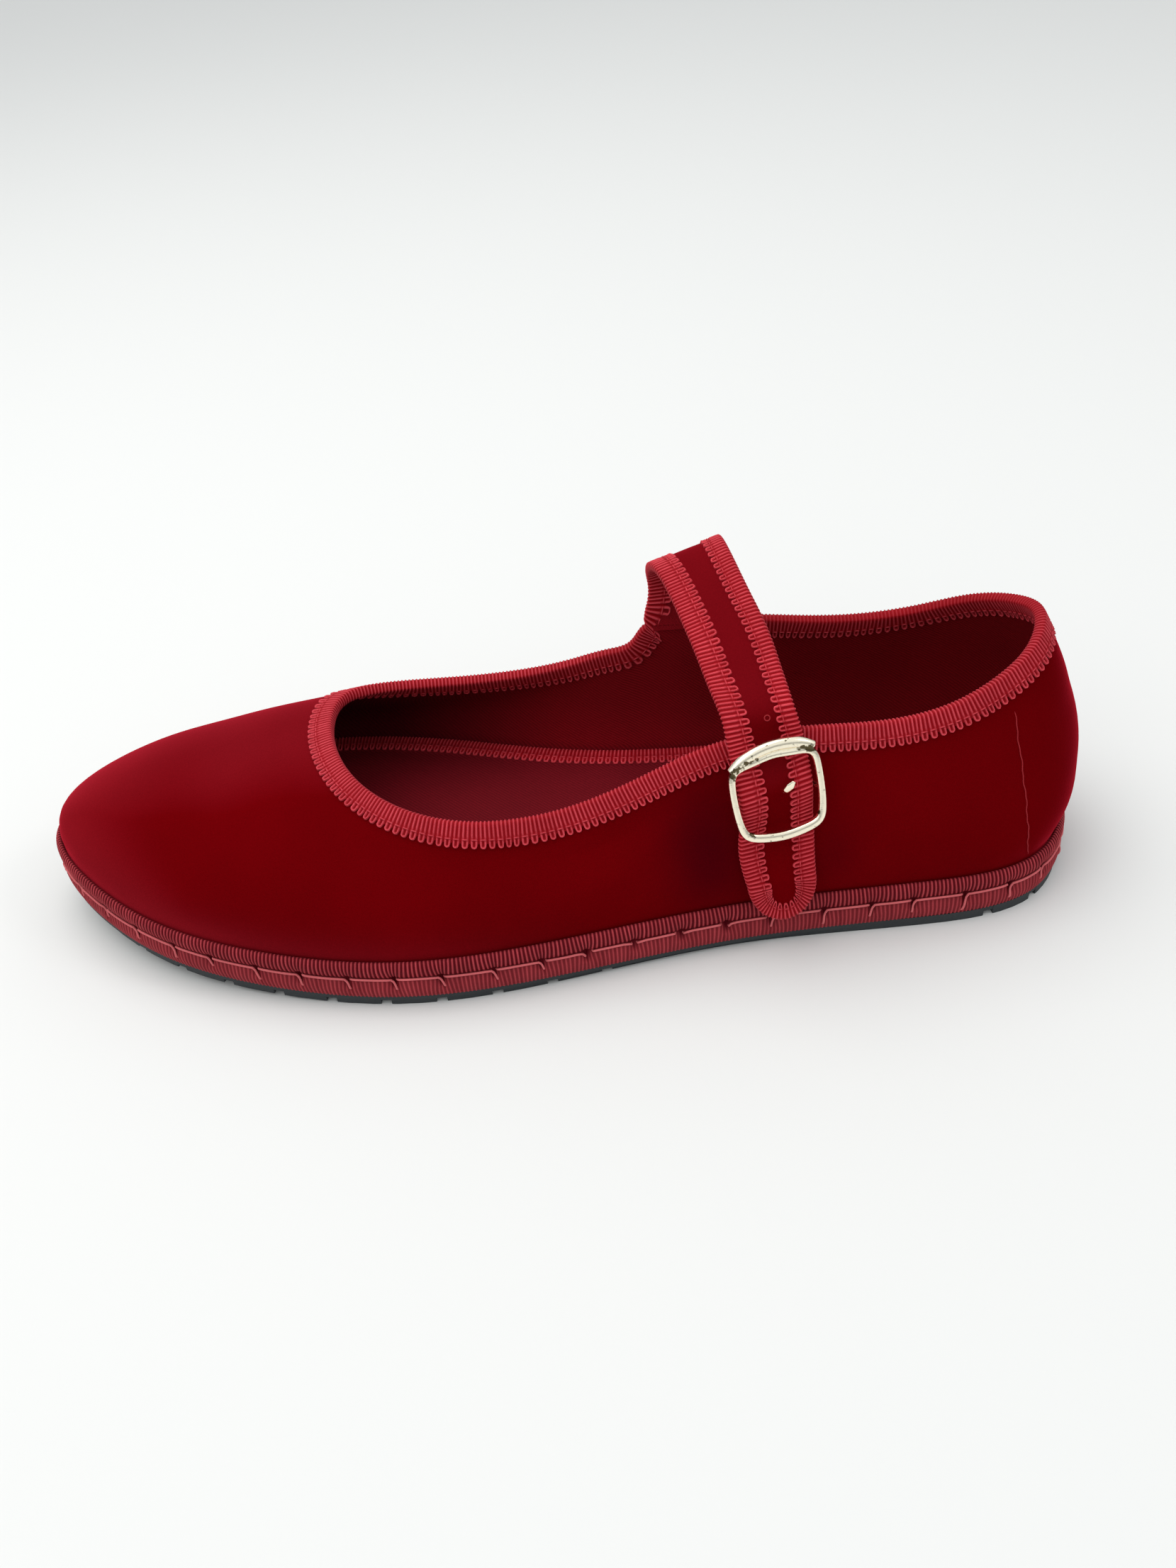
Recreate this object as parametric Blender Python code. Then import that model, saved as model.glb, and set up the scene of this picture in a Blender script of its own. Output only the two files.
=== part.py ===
"""Left shoe: a flat velvet slipper with one buckled strap over the instep.

The shoe stands on its sole with the toe towards -X and the outer (lateral) side
towards -Y. Every table below is in millimetres in shoe coordinates (s, y, z):
s runs forward from the heel end of the sole, y is positive on the inner (medial)
side of the foot, z is the height over the floor.

Pieces, from the floor up: rubber outsole with notched edge, tape-bound midsole,
insole with a raised edge, hollow upper, tape over its topline, strap with its own
tape, buckle (frame, second bar over its top end, dropped centre bar and pin, cast in
one), and the loop of tape that holds the centre bar.
"""
import math

import bmesh
import bpy
import numpy as np
from mathutils import Vector
from mathutils.bvhtree import BVHTree

MM = 0.001
GAP = 0.3                      # clearance between touching pieces
CUT_PAST = 2.0                 # cutters run this far past the faces they open
QUADS_OF_BOX = ((0, 1, 2, 3), (4, 5, 6, 7), (0, 1, 5, 4), (1, 2, 6, 5), (2, 3, 7, 6), (3, 0, 4, 7))

# --------------------------------------------------- how finely curves are cut
OUTLINE_STEPS = 1440
TOPLINE_STEPS = 720
WALL_STEPS = 60
OUTSOLE_STATIONS = 56          # on each side of the sole
MIDSOLE_STATIONS = 44
INSOLE_STATIONS = 36
STRAP_ROWS = 34
TIP_TURNS = 13
FRAME_STEPS = 36
CREST_STEPS = 12
LOOP_TURNS = 11

# ---------------------------------------------------------------- sole sizes
LENGTH = 256.5                 # heel end to toe end of the sole
HEEL_END_Y = -1.5
TOE_END_Y = 5.7
# s, lateral y, medial y of the sole's outline
OUTLINE = (
    (12.0, -28.4, 24.6),
    (40.0, -35.3, 31.5),
    (85.0, -38.4, 29.8),
    (125.0, -45.8, 33.0),
    (160.0, -50.0, 42.6),
    (195.0, -45.0, 45.2),
    (220.0, -36.2, 37.6),
    (240.0, -22.6, 25.4),
)
TOE_BREAK = 162.0              # the sole is flat on the floor up to here
TOE_SPRING = 7.5               # and lifts by this much at the toe end
HEEL_BREAK = 14.0              # the back edge of the heel lifts a little too
HEEL_LIFT = 0.4

RUBBER = 2.7                   # outsole thickness
# s, how far the rubber's edge stands back from the bound edge: most at the waist
RUBBER_INSET = (
    (0.0, 0.3),
    (55.0, 0.4),
    (82.0, 1.2),
    (112.0, 1.2),
    (150.0, 0.5),
    (190.0, 0.4),
    (257.0, 1.0),
)
RUBBER_DRAFT = 0.2             # its foot stands in a little more
NOTCH_PITCH = 13.4             # tread grooves that open in the rubber's edge
NOTCH_WIDTH = 2.6
NOTCH_DEPTH = 1.7
NOTCH_FIRST = 3.3
NOTCH_FREE = (24.0, 112.0)      # no grooves open between these s

BAND_TOP = 13.4                # top of the tape-bound edge
SEAT = 11.0                    # level on which upper and insole stand
LIP = 1.0                      # thickness of the edge that covers the upper's foot
TURN_WEIGHT = 45.0             # a radian of turn counts for so much length of outline
# height share, outward swell of the bound edge: two rolls parted by the seam
BAND_SECTION = (
    (0.00, -0.30),
    (0.20, 0.35),
    (0.46, 0.00),
    (0.72, 0.40),
    (0.93, 0.00),
    (1.00, -0.45),
)

# --------------------------------------------------------------- upper sizes
WALL = 1.6                     # velvet, interlining and lining together
INSOLE = 2.0                   # thickness in the middle
INSOLE_EDGE = 0.5              # raised tape round the insole's edge
INSOLE_EDGE_WIDTH = 6.0
# One row for each line up the upper's wall, round the shoe from the heel.
# sole_s: where the line starts on the outline (negative on the medial side)
# top:    where it ends on the topline (s, y, z)
# rise, lean:   length of the lower handle and its outward lean in degrees
# reach, slope: length of the upper handle and its angle from the vertical
UPPER = (
    # sole_s,   top s,   y,     z,   rise, lean, reach, slope
    (0.0, (9.0, 0.0, 64.9), 20.0, 28.0, 20.0, 28.0),
    (3.0, (12.5, -10.0, 62.9), 19.0, 26.0, 19.0, 28.0),
    (14.0, (21.0, -17.3, 59.2), 17.0, 18.0, 17.0, 24.0),
    (33.0, (35.0, -22.5, 54.8), 16.0, 14.0, 15.0, 22.0),
    (50.0, (50.0, -24.6, 53.4), 16.0, 12.0, 15.0, 21.0),
    (66.0, (65.0, -25.6, 54.2), 16.0, 12.0, 15.0, 21.0),
    (82.0, (80.0, -26.2, 53.8), 16.0, 12.0, 15.0, 21.0),
    (96.0, (93.0, -27.0, 50.6), 15.0, 12.0, 14.0, 22.0),
    (112.0, (107.0, -28.6, 45.0), 13.0, 13.0, 12.0, 25.0),
    (129.0, (121.0, -31.0, 40.9), 11.0, 14.0, 11.0, 28.0),
    (148.0, (135.0, -33.0, 39.6), 11.0, 14.0, 11.0, 33.0),
    (172.0, (150.0, -33.0, 40.7), 12.0, 12.0, 13.0, 44.0),
    (196.0, (163.0, -28.0, 42.4), 13.0, 10.0, 18.0, 58.0),
    (221.0, (173.5, -18.0, 43.9), 14.0, 10.0, 27.0, 69.0),
    (242.0, (179.6, -5.5, 44.8), 14.8, 9.0, 35.0, 77.0),
    (256.5, (181.6, 7.5, 45.1), 15.2, 8.0, 38.0, 79.0),
    (-242.0, (178.0, 18.5, 44.7), 15.2, 9.0, 35.0, 79.0),
    (-222.0, (166.5, 24.6, 42.6), 14.6, 11.0, 27.0, 70.0),
    (-198.0, (151.0, 27.2, 40.9), 13.0, 10.0, 19.0, 56.0),
    (-170.0, (135.0, 28.2, 40.9), 12.0, 12.0, 15.0, 42.0),
    (-142.0, (121.0, 28.6, 42.8), 12.0, 12.0, 13.0, 28.0),
    (-124.0, (111.4, 28.4, 45.1), 13.0, 11.0, 13.0, 20.0),
    (-110.0, (104.6, 28.0, 48.0), 14.0, 10.5, 13.0, 13.0),
    (-103.0, (101.2, 27.4, 52.6), 15.0, 10.0, 14.0, 10.0),
    (-93.0, (91.0, 26.1, 53.7), 15.5, 10.0, 14.0, 10.0),
    (-83.0, (81.0, 24.8, 54.6), 16.0, 10.0, 14.0, 10.0),
    (-66.0, (65.0, 23.9, 53.8), 16.0, 11.0, 14.0, 14.0),
    (-50.0, (50.0, 24.6, 52.2), 16.0, 12.0, 15.0, 18.0),
    (-33.0, (34.0, 24.2, 53.4), 16.0, 14.0, 15.0, 22.0),
    (-14.0, (21.0, 19.6, 58.3), 17.0, 19.0, 17.0, 25.0),
    (-3.0, (12.5, 11.0, 62.5), 19.0, 27.0, 19.0, 28.0),
)
COLUMNS = 90                   # lines round the upper
TOPLINE_WEIGHT = 30.0          # a radian of turn counts for so much length of topline
ROWS = 8                       # rows up each line, from the band's lip to the tape
TAPE_OUT = 6.5                 # width of the topline tape outside
TAPE_IN = 6.0                  # and inside
TAPE = 0.5                     # its thickness
TAPE_TOP = 0.9                 # how far it stands over the cut edge
ROOT_CLEAR = 0.8               # it ends this far from the strap's root
STRAP_ROOT_ROWS = (23, 25)     # the strap grows from the topline between these two rows

# --------------------------------------------------------------- strap sizes
STRAP = 1.2                    # velvet and lining
STRAP_TAPE_WIDTH = (5.6, 4.3)  # at the root and at the tip
# The strap's middle surface over the instep, to the outside of its tape:
# toe-side edge, heel-side edge (s, y, z)
STRAP_ARCH = (
    ((101.3, 26.7, 54.0), (80.8, 24.2, 55.4)),
    ((100.6, 27.3, 58.0), (80.9, 25.7, 60.0)),
    ((99.9, 27.6, 62.6), (81.0, 26.8, 65.8)),
    ((100.3, 25.7, 69.2), (81.8, 25.5, 75.2)),
    ((98.9, 19.2, 73.3), (81.8, 19.6, 79.4)),
    ((96.1, 10.0, 72.7), (80.2, 10.6, 78.9)),
    ((93.6, 0.5, 70.1), (77.7, 0.6, 75.9)),
    ((91.0, -9.2, 66.4), (74.6, -9.6, 71.4)),
    ((88.6, -18.6, 62.2), (72.4, -19.2, 65.8)),
    ((86.4, -26.6, 57.6), (70.4, -26.8, 60.2)),
)
# Below the topline it follows the wall: s and z at each edge, each edge's lift off it
STRAP_WALL = (
    # s toe, z toe, s heel, z heel, lift toe, lift heel
    (85.4, 50.8, 69.2, 54.0, 3.1, 2.8),
    (84.5, 45.6, 68.4, 48.8, 5.6, 4.0),
    (84.1, 42.0, 68.0, 45.2, 6.4, 4.6),
    (83.9, 38.4, 67.8, 41.6, 4.8, 3.5),
    (84.2, 34.6, 67.7, 37.4, 2.9, 2.0),
    (84.6, 30.6, 67.6, 33.0, 2.1, 1.9),
    (84.2, 26.0, 67.6, 28.4, 2.0, 2.0),
    (83.0, 20.6, 67.4, 22.4, 2.7, 2.7),
)
TIP_LENGTH = 11.4              # the rounded end reaches this far past the last row
TIP_LIFT = 3.6
TIP_DROP = 8.5                 # the end's run is aimed at a point this far below that row
TIP_LEAN = 0.6                 # and this far towards the heel

# -------------------------------------------------------------- buckle sizes
BUCKLE_S = 76.4                # where its middle lies on the wall
BUCKLE_Z = 42.6
BUCKLE_TURN = 7.5              # degrees, heel side up
BUCKLE_YAW = 6.0               # degrees, heel side towards the foot
BUCKLE_PITCH = 8.0             # degrees, top end away from the foot
BUCKLE_LIFT = 6.8              # middle of the frame's wire over the wall
# Half of the frame, top middle to bottom middle: across, up, radius of the wire
FRAME = (
    (0.0, 10.3, 0.95),
    (5.2, 9.7, 0.95),
    (8.6, 8.2, 1.00),
    (9.9, 4.6, 1.00),
    (9.9, 0.0, 1.00),
    (9.5, -4.2, 1.05),
    (8.3, -7.0, 1.15),
    (5.0, -8.6, 1.25),
    (0.0, -9.2, 1.30),
)
# Half of the second, thicker bar above the frame's top end, fused to its corners
CREST = (
    (0.0, 13.0, 1.30),
    (3.6, 12.6, 1.30),
    (7.2, 11.3, 1.25),
    (9.7, 9.2, 1.05),
)
BAR = 0.6                      # radius of the dropped centre bar
BAR_LIFT = 2.25
# From each side of the frame: distance inward, share of the drop to the bar
BAR_CRANK = (
    (0.0, 0.0),
    (0.5, 0.31),
    (0.9, 0.78),
    (1.9, 1.0),
)
STUD = 0.7                     # radius of the pin on the centre bar
STUD_FOOT = (1.1, 0.2, 2.25)   # across, up and out, in the buckle's own frame
STUD_TIP = (2.3, 2.2, 8.6)
STUD_SHOULDER = 0.87           # share of its length where the tip begins to narrow
STUD_POINT = 0.5               # share of its radius left at the tip
STRAP_HOLE = 1.2
LOOP_WIDTH = 5.4
LOOP_TAPE = 0.5
LOOP_SLOT = 2.2                # width of the slot for the pin
LOOP_RISE = 3.4                # length of its legs above the bar
LOOP_FOOT = (0.4, 1.2)         # heights of the ends of its two legs
LOOP_SLOT_FROM = -3.0          # the slot's ends, up the strap from the bar
LOOP_SLOT_TO = 1.8
LOOP_SLOT_DEEP = 0.4           # and how far it reaches below the bar's axis

COLOURS = {
    "velvet": ((0.24, 0.004, 0.012), 0.85, 0.0),
    "tape": ((0.30, 0.02, 0.04), 0.7, 0.0),
    "edge_tape": ((0.20, 0.02, 0.04), 0.75, 0.0),
    "lining": ((0.08, 0.004, 0.012), 0.9, 0.0),
    "rubber": ((0.03, 0.035, 0.04), 0.7, 0.0),
    "gold": ((0.85, 0.72, 0.45), 0.2, 1.0),
}


# ------------------------------------------------------------------- curves
def cubic(knots, values, at, closed=False):
    """Cubic spline through values at knots; closed joins the last knot to the first."""
    knots, values = np.asarray(knots, float), np.asarray(values, float)
    step, rise = np.diff(knots), np.diff(values, axis=0)
    slope = rise / step[:, None]
    count = len(knots) - 1 if closed else len(knots)
    system = np.eye(count)
    target = np.zeros((count, values.shape[1]))
    rows = range(count) if closed else range(1, count - 1)
    for i in rows:
        before, after = (i - 1) % len(step), i
        system[i, :] = 0.0
        system[i, (i - 1) % count] += step[before]
        system[i, i] += 2.0 * (step[before] + step[after])
        system[i, (i + 1) % count] += step[after]
        target[i] = 6.0 * (slope[after] - slope[before])
    bend = np.linalg.solve(system, target)
    if closed:
        bend = np.vstack([bend, bend[:1]])
    at = np.asarray(at, float)
    i = np.clip(np.searchsorted(knots, at, side="right") - 1, 0, len(step) - 1)
    a = ((knots[i + 1] - at) / step[i])[:, None]
    b = 1.0 - a
    curve = ((a ** 3 - a) * bend[i] + (b ** 3 - b) * bend[i + 1]) * (step[i] ** 2)[:, None] / 6.0
    return a * values[i] + b * values[i + 1] + curve


def along(points, closed=False):
    """Running length along a list of points."""
    points = np.asarray(points, float)
    if closed:
        points = np.vstack([points, points[:1]])
    return np.concatenate([[0.0], np.cumsum(np.linalg.norm(np.diff(points, axis=0), axis=1))])


def unit(vectors):
    return vectors / np.linalg.norm(vectors, axis=-1, keepdims=True)


def trace_outline():
    """The sole's outline, heel end - lateral - toe end - medial, as a fine closed line."""
    lateral = [(s, y) for s, y, _ in OUTLINE]
    medial = [(s, y) for s, _, y in reversed(OUTLINE)]
    rows = np.array([(0.0, HEEL_END_Y)] + lateral + [(LENGTH, TOE_END_Y)] + medial)
    knots = along(rows, closed=True)
    at = np.linspace(0.0, knots[-1], OUTLINE_STEPS + 1)
    return cubic(knots, np.vstack([rows, rows[:1]]), at, closed=True)


LINE = trace_outline()
LINE_AT = along(LINE)
AROUND = LINE_AT[-1]
TOE_INDEX = int(LINE[:, 0].argmax())
TOE_AT = LINE_AT[TOE_INDEX]


def on_outline(at):
    """Points of the outline and outward normals at lengths measured from the heel end."""
    at = np.mod(np.asarray(at, float), AROUND)
    point = np.stack([np.interp(at, LINE_AT, LINE[:, k]) for k in (0, 1)], axis=-1)
    reach = 1.5
    after = [np.interp((at + reach) % AROUND, LINE_AT, LINE[:, k]) for k in (0, 1)]
    before = [np.interp((at - reach) % AROUND, LINE_AT, LINE[:, k]) for k in (0, 1)]
    run = unit(np.stack(after, axis=-1) - np.stack(before, axis=-1))
    return point, np.stack([run[..., 1], -run[..., 0]], axis=-1)


def outline_at(sole_s):
    """Length along the outline of the point at sole_s, negative on the medial side."""
    if sole_s >= 0.0:
        half = slice(0, TOE_INDEX + 1)
        return float(np.interp(sole_s, LINE[half, 0], LINE_AT[half]))
    half = slice(TOE_INDEX, None)
    return float(np.interp(-sole_s, LINE[half, 0][::-1], LINE_AT[half][::-1]))


def ground(s):
    """Height of the sole's underside: flat, with toe spring and a lifted back edge."""
    toe = np.clip((s - TOE_BREAK) / (LENGTH - TOE_BREAK), 0.0, 1.1)
    heel = np.clip((HEEL_BREAK - s) / HEEL_BREAK, 0.0, 1.3)
    return TOE_SPRING * toe ** 2 + HEEL_LIFT * heel ** 2


# ------------------------------------------------------------------- meshes
def material(name):
    colour, roughness, metallic = COLOURS[name]
    finish = bpy.data.materials.get(name) or bpy.data.materials.new(name)
    finish.use_nodes = True
    shader = finish.node_tree.nodes["Principled BSDF"]
    shader.inputs["Base Color"].default_value = (*colour, 1.0)
    shader.inputs["Roughness"].default_value = roughness
    shader.inputs["Metallic"].default_value = metallic
    finish.diffuse_color = (*colour, 1.0)
    return finish


def shoe_to_world(points):
    """Shoe coordinates in millimetres to Blender's metres, toe towards -X."""
    points = np.asarray(points, float)
    return np.stack([LENGTH / 2 - points[..., 0], points[..., 1], points[..., 2]], axis=-1) * MM


def make_object(name, points, faces, finish, smooth=True):
    """A named mesh from shoe coordinates, with its faces turned outward."""
    mesh = bpy.data.meshes.new(name)
    mesh.from_pydata([tuple(p) for p in shoe_to_world(points)], [], faces)
    shape = bmesh.new()
    shape.from_mesh(mesh)
    bmesh.ops.recalc_face_normals(shape, faces=shape.faces)
    shape.to_mesh(mesh)
    shape.free()
    mesh.materials.append(material(finish))
    if smooth:
        mesh.shade_smooth()
        mesh.set_sharp_from_angle(angle=math.radians(40.0))
    piece = bpy.data.objects.new(name, mesh)
    bpy.context.scene.collection.objects.link(piece)
    return piece


def loft(loops, closed):
    """Vertices and quads of closed sections joined in order; open lofts get end caps."""
    loops = np.asarray(loops, float)
    count, size = loops.shape[:2]
    faces = []
    for i in range(count if closed else count - 1):
        j = (i + 1) % count
        for k in range(size):
            m = (k + 1) % size
            faces.append((i * size + k, i * size + m, j * size + m, j * size + k))
    if not closed:
        faces.append(tuple(range(size)))
        faces.append(tuple(range((count - 1) * size, count * size)))
    return loops.reshape(-1, 3), faces


def spread(at, points, weight, count):
    """Stations along a fine closed curve, closer together where it turns."""
    run = unit(np.diff(points, axis=0))
    turning = np.linalg.norm(np.diff(run, axis=0, append=run[-1:]), axis=1)
    measure = np.concatenate([[0.0], np.cumsum(np.diff(at) + weight * turning)])
    return np.interp(np.linspace(0.0, measure[-1], count + 1)[:-1], measure, at)


def side_stations(count):
    """Lengths along the outline, equally many on each side of the heel-toe line."""
    toe = TOE_INDEX + 1
    lateral = spread(LINE_AT[:toe], LINE[:toe], TURN_WEIGHT, count)
    medial = spread(LINE_AT[toe - 1:], LINE[toe - 1:], TURN_WEIGHT, count)
    return np.concatenate([lateral, medial])


def slab(rings):
    """A plate from rings of equal count stacked upward, closed by strips across."""
    rings = np.asarray(rings, float)
    count, size = rings.shape[:2]
    faces = []
    for i in range(count - 1):
        for k in range(size):
            m = (k + 1) % size
            faces.append((i * size + k, i * size + m, (i + 1) * size + m, (i + 1) * size + k))
    half = size // 2
    for base in (0, (count - 1) * size):
        faces.append((base, base + 1, base + size - 1))
        faces.append((base + half - 1, base + half, base + half + 1))
        for k in range(1, half - 1):
            faces.append((base + k, base + k + 1, base + size - k - 1, base + size - k))
    return rings.reshape(-1, 3), faces


def ring(at, inset, height):
    """The outline moved inward by inset, at a height over the sole's underside."""
    point, out = on_outline(at)
    point = point - out * np.reshape(inset, (-1, 1))
    return np.column_stack([point, ground(point[:, 0]) + height])


# --------------------------------------------------------------------- sole
def rubber_inset(s):
    """How far the rubber's edge stands back from the outline at s."""
    table = np.array(RUBBER_INSET)
    return cubic(table[:, 0], table[:, 1:], np.atleast_1d(s))[:, 0]


def build_outsole():
    """Rubber plate; the cutters open the tread grooves in its edge."""
    at = side_stations(OUTSOLE_STATIONS)
    inset = rubber_inset(on_outline(at)[0][:, 0])
    points, faces = slab([ring(at, inset + RUBBER_DRAFT, 0.0), ring(at, inset, RUBBER)])
    outsole = make_object("outsole", points, faces, "rubber")
    boxes, box_faces = [], []
    for side_start, side_length in ((0.0, TOE_AT), (TOE_AT, AROUND - TOE_AT)):
        for place in np.arange(NOTCH_FIRST, side_length - NOTCH_FIRST / 2, NOTCH_PITCH):
            point, out = on_outline(side_start + place)
            if NOTCH_FREE[0] < point[0] < NOTCH_FREE[1]:
                continue
            point = point - out * rubber_inset(point[0])
            run = np.array([-out[1], out[0]])
            base = len(boxes)
            half = run * NOTCH_WIDTH / 2
            deep, past = point - out * NOTCH_DEPTH, point + out * CUT_PAST
            for height in (-CUT_PAST, RUBBER + CUT_PAST):
                for corner in (deep - half, deep + half, past + half, past - half):
                    boxes.append((*corner, float(ground(point[0])) + height))
            for quad in QUADS_OF_BOX:
                box_faces.append(tuple(base + k for k in quad))
    cutter = make_object("notch_cutter", boxes, box_faces, "rubber", smooth=False)
    cut_with(outsole, cutter)
    return outsole


def cut_with(piece, cutter):
    cutter.hide_render = True
    cutter.display_type = "WIRE"
    cut = piece.modifiers.new("cut", "BOOLEAN")
    cut.operation = "DIFFERENCE"
    cut.solver = "EXACT"
    cut.object = cutter


def build_midsole():
    """Stitched textile sole whose edge is wrapped in tape, with a lip round the upper."""
    at = side_stations(MIDSOLE_STATIONS)
    low = RUBBER + GAP
    rings = [ring(at, -swell, low + share * (BAND_TOP - low)) for share, swell in BAND_SECTION]
    rings.append(ring(at, LIP, BAND_TOP - 0.1))
    rings.append(ring(at, LIP, SEAT))
    points, faces = slab(rings)
    return make_object("midsole", points, faces, "edge_tape")


def build_insole():
    """Footbed plate; its edge is a raised border of tape."""
    at = side_stations(INSOLE_STATIONS)
    edge = LIP + GAP + WALL + 2.5 * GAP
    low, high = SEAT + GAP, SEAT + GAP + INSOLE
    inner = edge + INSOLE_EDGE_WIDTH
    rings = [
        ring(at, edge, low),
        ring(at, edge, high + INSOLE_EDGE),
        ring(at, inner, high + INSOLE_EDGE),
        ring(at, inner + INSOLE_EDGE, high),
    ]
    points, faces = slab(rings)
    return make_object("insole", points, faces, "lining")


# -------------------------------------------------------------------- upper
def upper_surface():
    """Grid of the upper's outer surface, [column][row up the wall], and its normals.

    The last two rows are the lower edge of the topline tape and the topline itself.
    """
    table = [(outline_at(row[0]), *row[1], *row[2:]) for row in UPPER]
    table = np.array(table)
    table = np.vstack([table, table[:1]])
    table[-1, 0] = AROUND
    foot, _ = on_outline(table[:, 0])
    knots = 0.5 * (along(foot) + along(table[:, 1:4]))
    fine_at = np.linspace(0.0, knots[-1], TOPLINE_STEPS + 1)
    topline = cubic(knots, table[:, 1:4], fine_at, closed=True)
    at = spread(fine_at, topline, TOPLINE_WEIGHT, COLUMNS)
    for row in STRAP_ROOT_ROWS:
        at[np.abs(at - knots[row]).argmin()] = knots[row]
    # the length along the outline grows steadily, the other columns repeat
    drift = table[:, 0] - knots / knots[-1] * AROUND
    rows = cubic(knots, np.column_stack([drift, table[:, 1:]]), at, closed=True)
    outline_length = rows[:, 0] + at / knots[-1] * AROUND
    point, out = on_outline(outline_length)
    point = point - out * (LIP + GAP)
    foot = np.column_stack([point, ground(point[:, 0]) + SEAT + GAP])
    top = rows[:, 1:4]
    rise, lean = rows[:, 4:5], np.radians(rows[:, 5:6])
    reach, slope = rows[:, 6:7], np.radians(rows[:, 7:8])
    fan = unit(foot[:, :2] - top[:, :2])
    brim = foot + np.array([0.0, 0.0, BAND_TOP - SEAT])
    low = brim + rise * np.hstack([out * np.sin(lean), np.cos(lean)])
    high = top + reach * np.hstack([fan * np.sin(slope), -np.cos(slope)])
    t = np.linspace(0.0, 1.0, WALL_STEPS + 1)[None, :, None]
    fine = ((1 - t) ** 3 * brim[:, None] + 3 * t * (1 - t) ** 2 * low[:, None]
            + 3 * t ** 2 * (1 - t) * high[:, None] + t ** 3 * top[:, None])
    grid = []
    for start, line in zip(foot, fine):
        length = along(line)
        stops = np.append(np.linspace(0.0, length[-1] - TAPE_OUT, ROWS), length[-1])
        rows_up = np.stack([np.interp(stops, length, line[:, k]) for k in range(3)], axis=-1)
        grid.append(np.vstack([start, rows_up]))
    grid = np.array(grid)
    side = np.roll(grid, -1, axis=0) - np.roll(grid, 1, axis=0)
    up = np.gradient(grid, axis=1)
    normals = unit(np.cross(up, side))
    middle = grid.mean(axis=(0, 1))
    if np.sum(normals * (grid - middle)) < 0.0:
        normals = -normals
    return grid, normals


def inner_surface(grid, normals, depth):
    """The grid moved inward; the bottom row stays at its own height."""
    inner = grid - normals * depth
    flat = normals[:, 0].copy()
    flat[:, 2] = 0.0
    inner[:, 0] = grid[:, 0] - unit(flat) * depth
    return inner


def build_upper(grid, normals):
    """One hollow wall, open at the collar and underneath."""
    inner = inner_surface(grid, normals, WALL)
    loops = np.concatenate([grid, inner[:, ::-1]], axis=1)
    points, faces = loft(loops, closed=True)
    return make_object("upper", points, faces, "velvet")


def tape_columns(grid):
    """Columns in order round the topline, from one side of the strap's root to the other."""
    top = grid[:, -1]
    rear, front = (UPPER[row][1][0] for row in reversed(STRAP_ROOT_ROWS))
    root = (top[:, 1] > 0.0) & (top[:, 0] > rear - ROOT_CLEAR) & (top[:, 0] < front + ROOT_CLEAR)
    free = np.flatnonzero(~root)
    start = int(np.flatnonzero(np.diff(free) > 1)[0]) + 1
    return np.roll(free, -start)


def build_topline_tape(grid, normals):
    """Tape folded over the topline: a U section that rides the wall on both faces."""
    order = tape_columns(grid)
    top, normal = grid[order, -1], normals[order, -1]
    below, below_normal = grid[order, -2], normals[order, -2]
    up = unit(top - below)
    share = TAPE_IN / TAPE_OUT
    inside = top + (below - top) * share
    inside_normal = unit(normal + (below_normal - normal) * share)
    near, far = GAP, GAP + TAPE
    loops = np.stack([
        below + below_normal * far,
        top + normal * far,
        top + up * TAPE_TOP - normal * WALL / 2,
        top - normal * (WALL + far),
        inside - inside_normal * (WALL + far),
        inside - inside_normal * (WALL + near),
        top - normal * (WALL + near) + up * GAP,
        top + normal * near + up * GAP,
        below + below_normal * near,
    ], axis=1)
    points, faces = loft(loops, closed=False)
    return make_object("topline_tape", points, faces, "tape")


# -------------------------------------------------------------------- strap
class Wall:
    """The upper's outer surface as something to lay pieces on."""

    def __init__(self, grid):
        points, size = grid.reshape(-1, 3), grid.shape[1]
        faces = []
        for i in range(grid.shape[0]):
            j = (i + 1) % grid.shape[0]
            for k in range(size - 1):
                faces.append((i * size + k, j * size + k, j * size + k + 1, i * size + k + 1))
        self.tree = BVHTree.FromPolygons([tuple(p) for p in points], faces)

    def lateral(self, s, z):
        """Point and outward normal on the lateral wall at s and z."""
        hit, normal, _, _ = self.tree.ray_cast(Vector((s, -200.0, z)), Vector((0.0, 1.0, 0.0)))
        normal = np.array(normal)
        return np.array(hit), normal if normal[1] < 0.0 else -normal


def strap_edges(wall):
    """Toe-side and heel-side edges of the strap's middle surface, root to tip."""
    rows = [np.array(pair) for pair in STRAP_ARCH]
    for s_toe, z_toe, s_heel, z_heel, lift_toe, lift_heel in STRAP_WALL:
        ends = []
        for s, z, lift in ((s_toe, z_toe, lift_toe), (s_heel, z_heel, lift_heel)):
            hit, normal = wall.lateral(s, z)
            ends.append(hit + normal * lift)
        rows.append(np.array(ends))
    rows = np.array(rows)
    middle = rows.mean(axis=1)
    knots = along(middle)
    at = np.linspace(0.0, knots[-1], STRAP_ROWS)
    return cubic(knots, rows.reshape(len(rows), 6), at).reshape(STRAP_ROWS, 2, 3)


def strap_frame(edges):
    """Middle line, half-width vectors and outward normals of the strap's rows."""
    middle = edges.mean(axis=1)
    across = (edges[:, 0] - edges[:, 1]) / 2
    run = np.gradient(middle, axis=0)
    normal = unit(np.cross(run, across))
    if normal[len(normal) // 3, 2] < 0.0:
        normal = -normal
    return middle, across, normal


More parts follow.
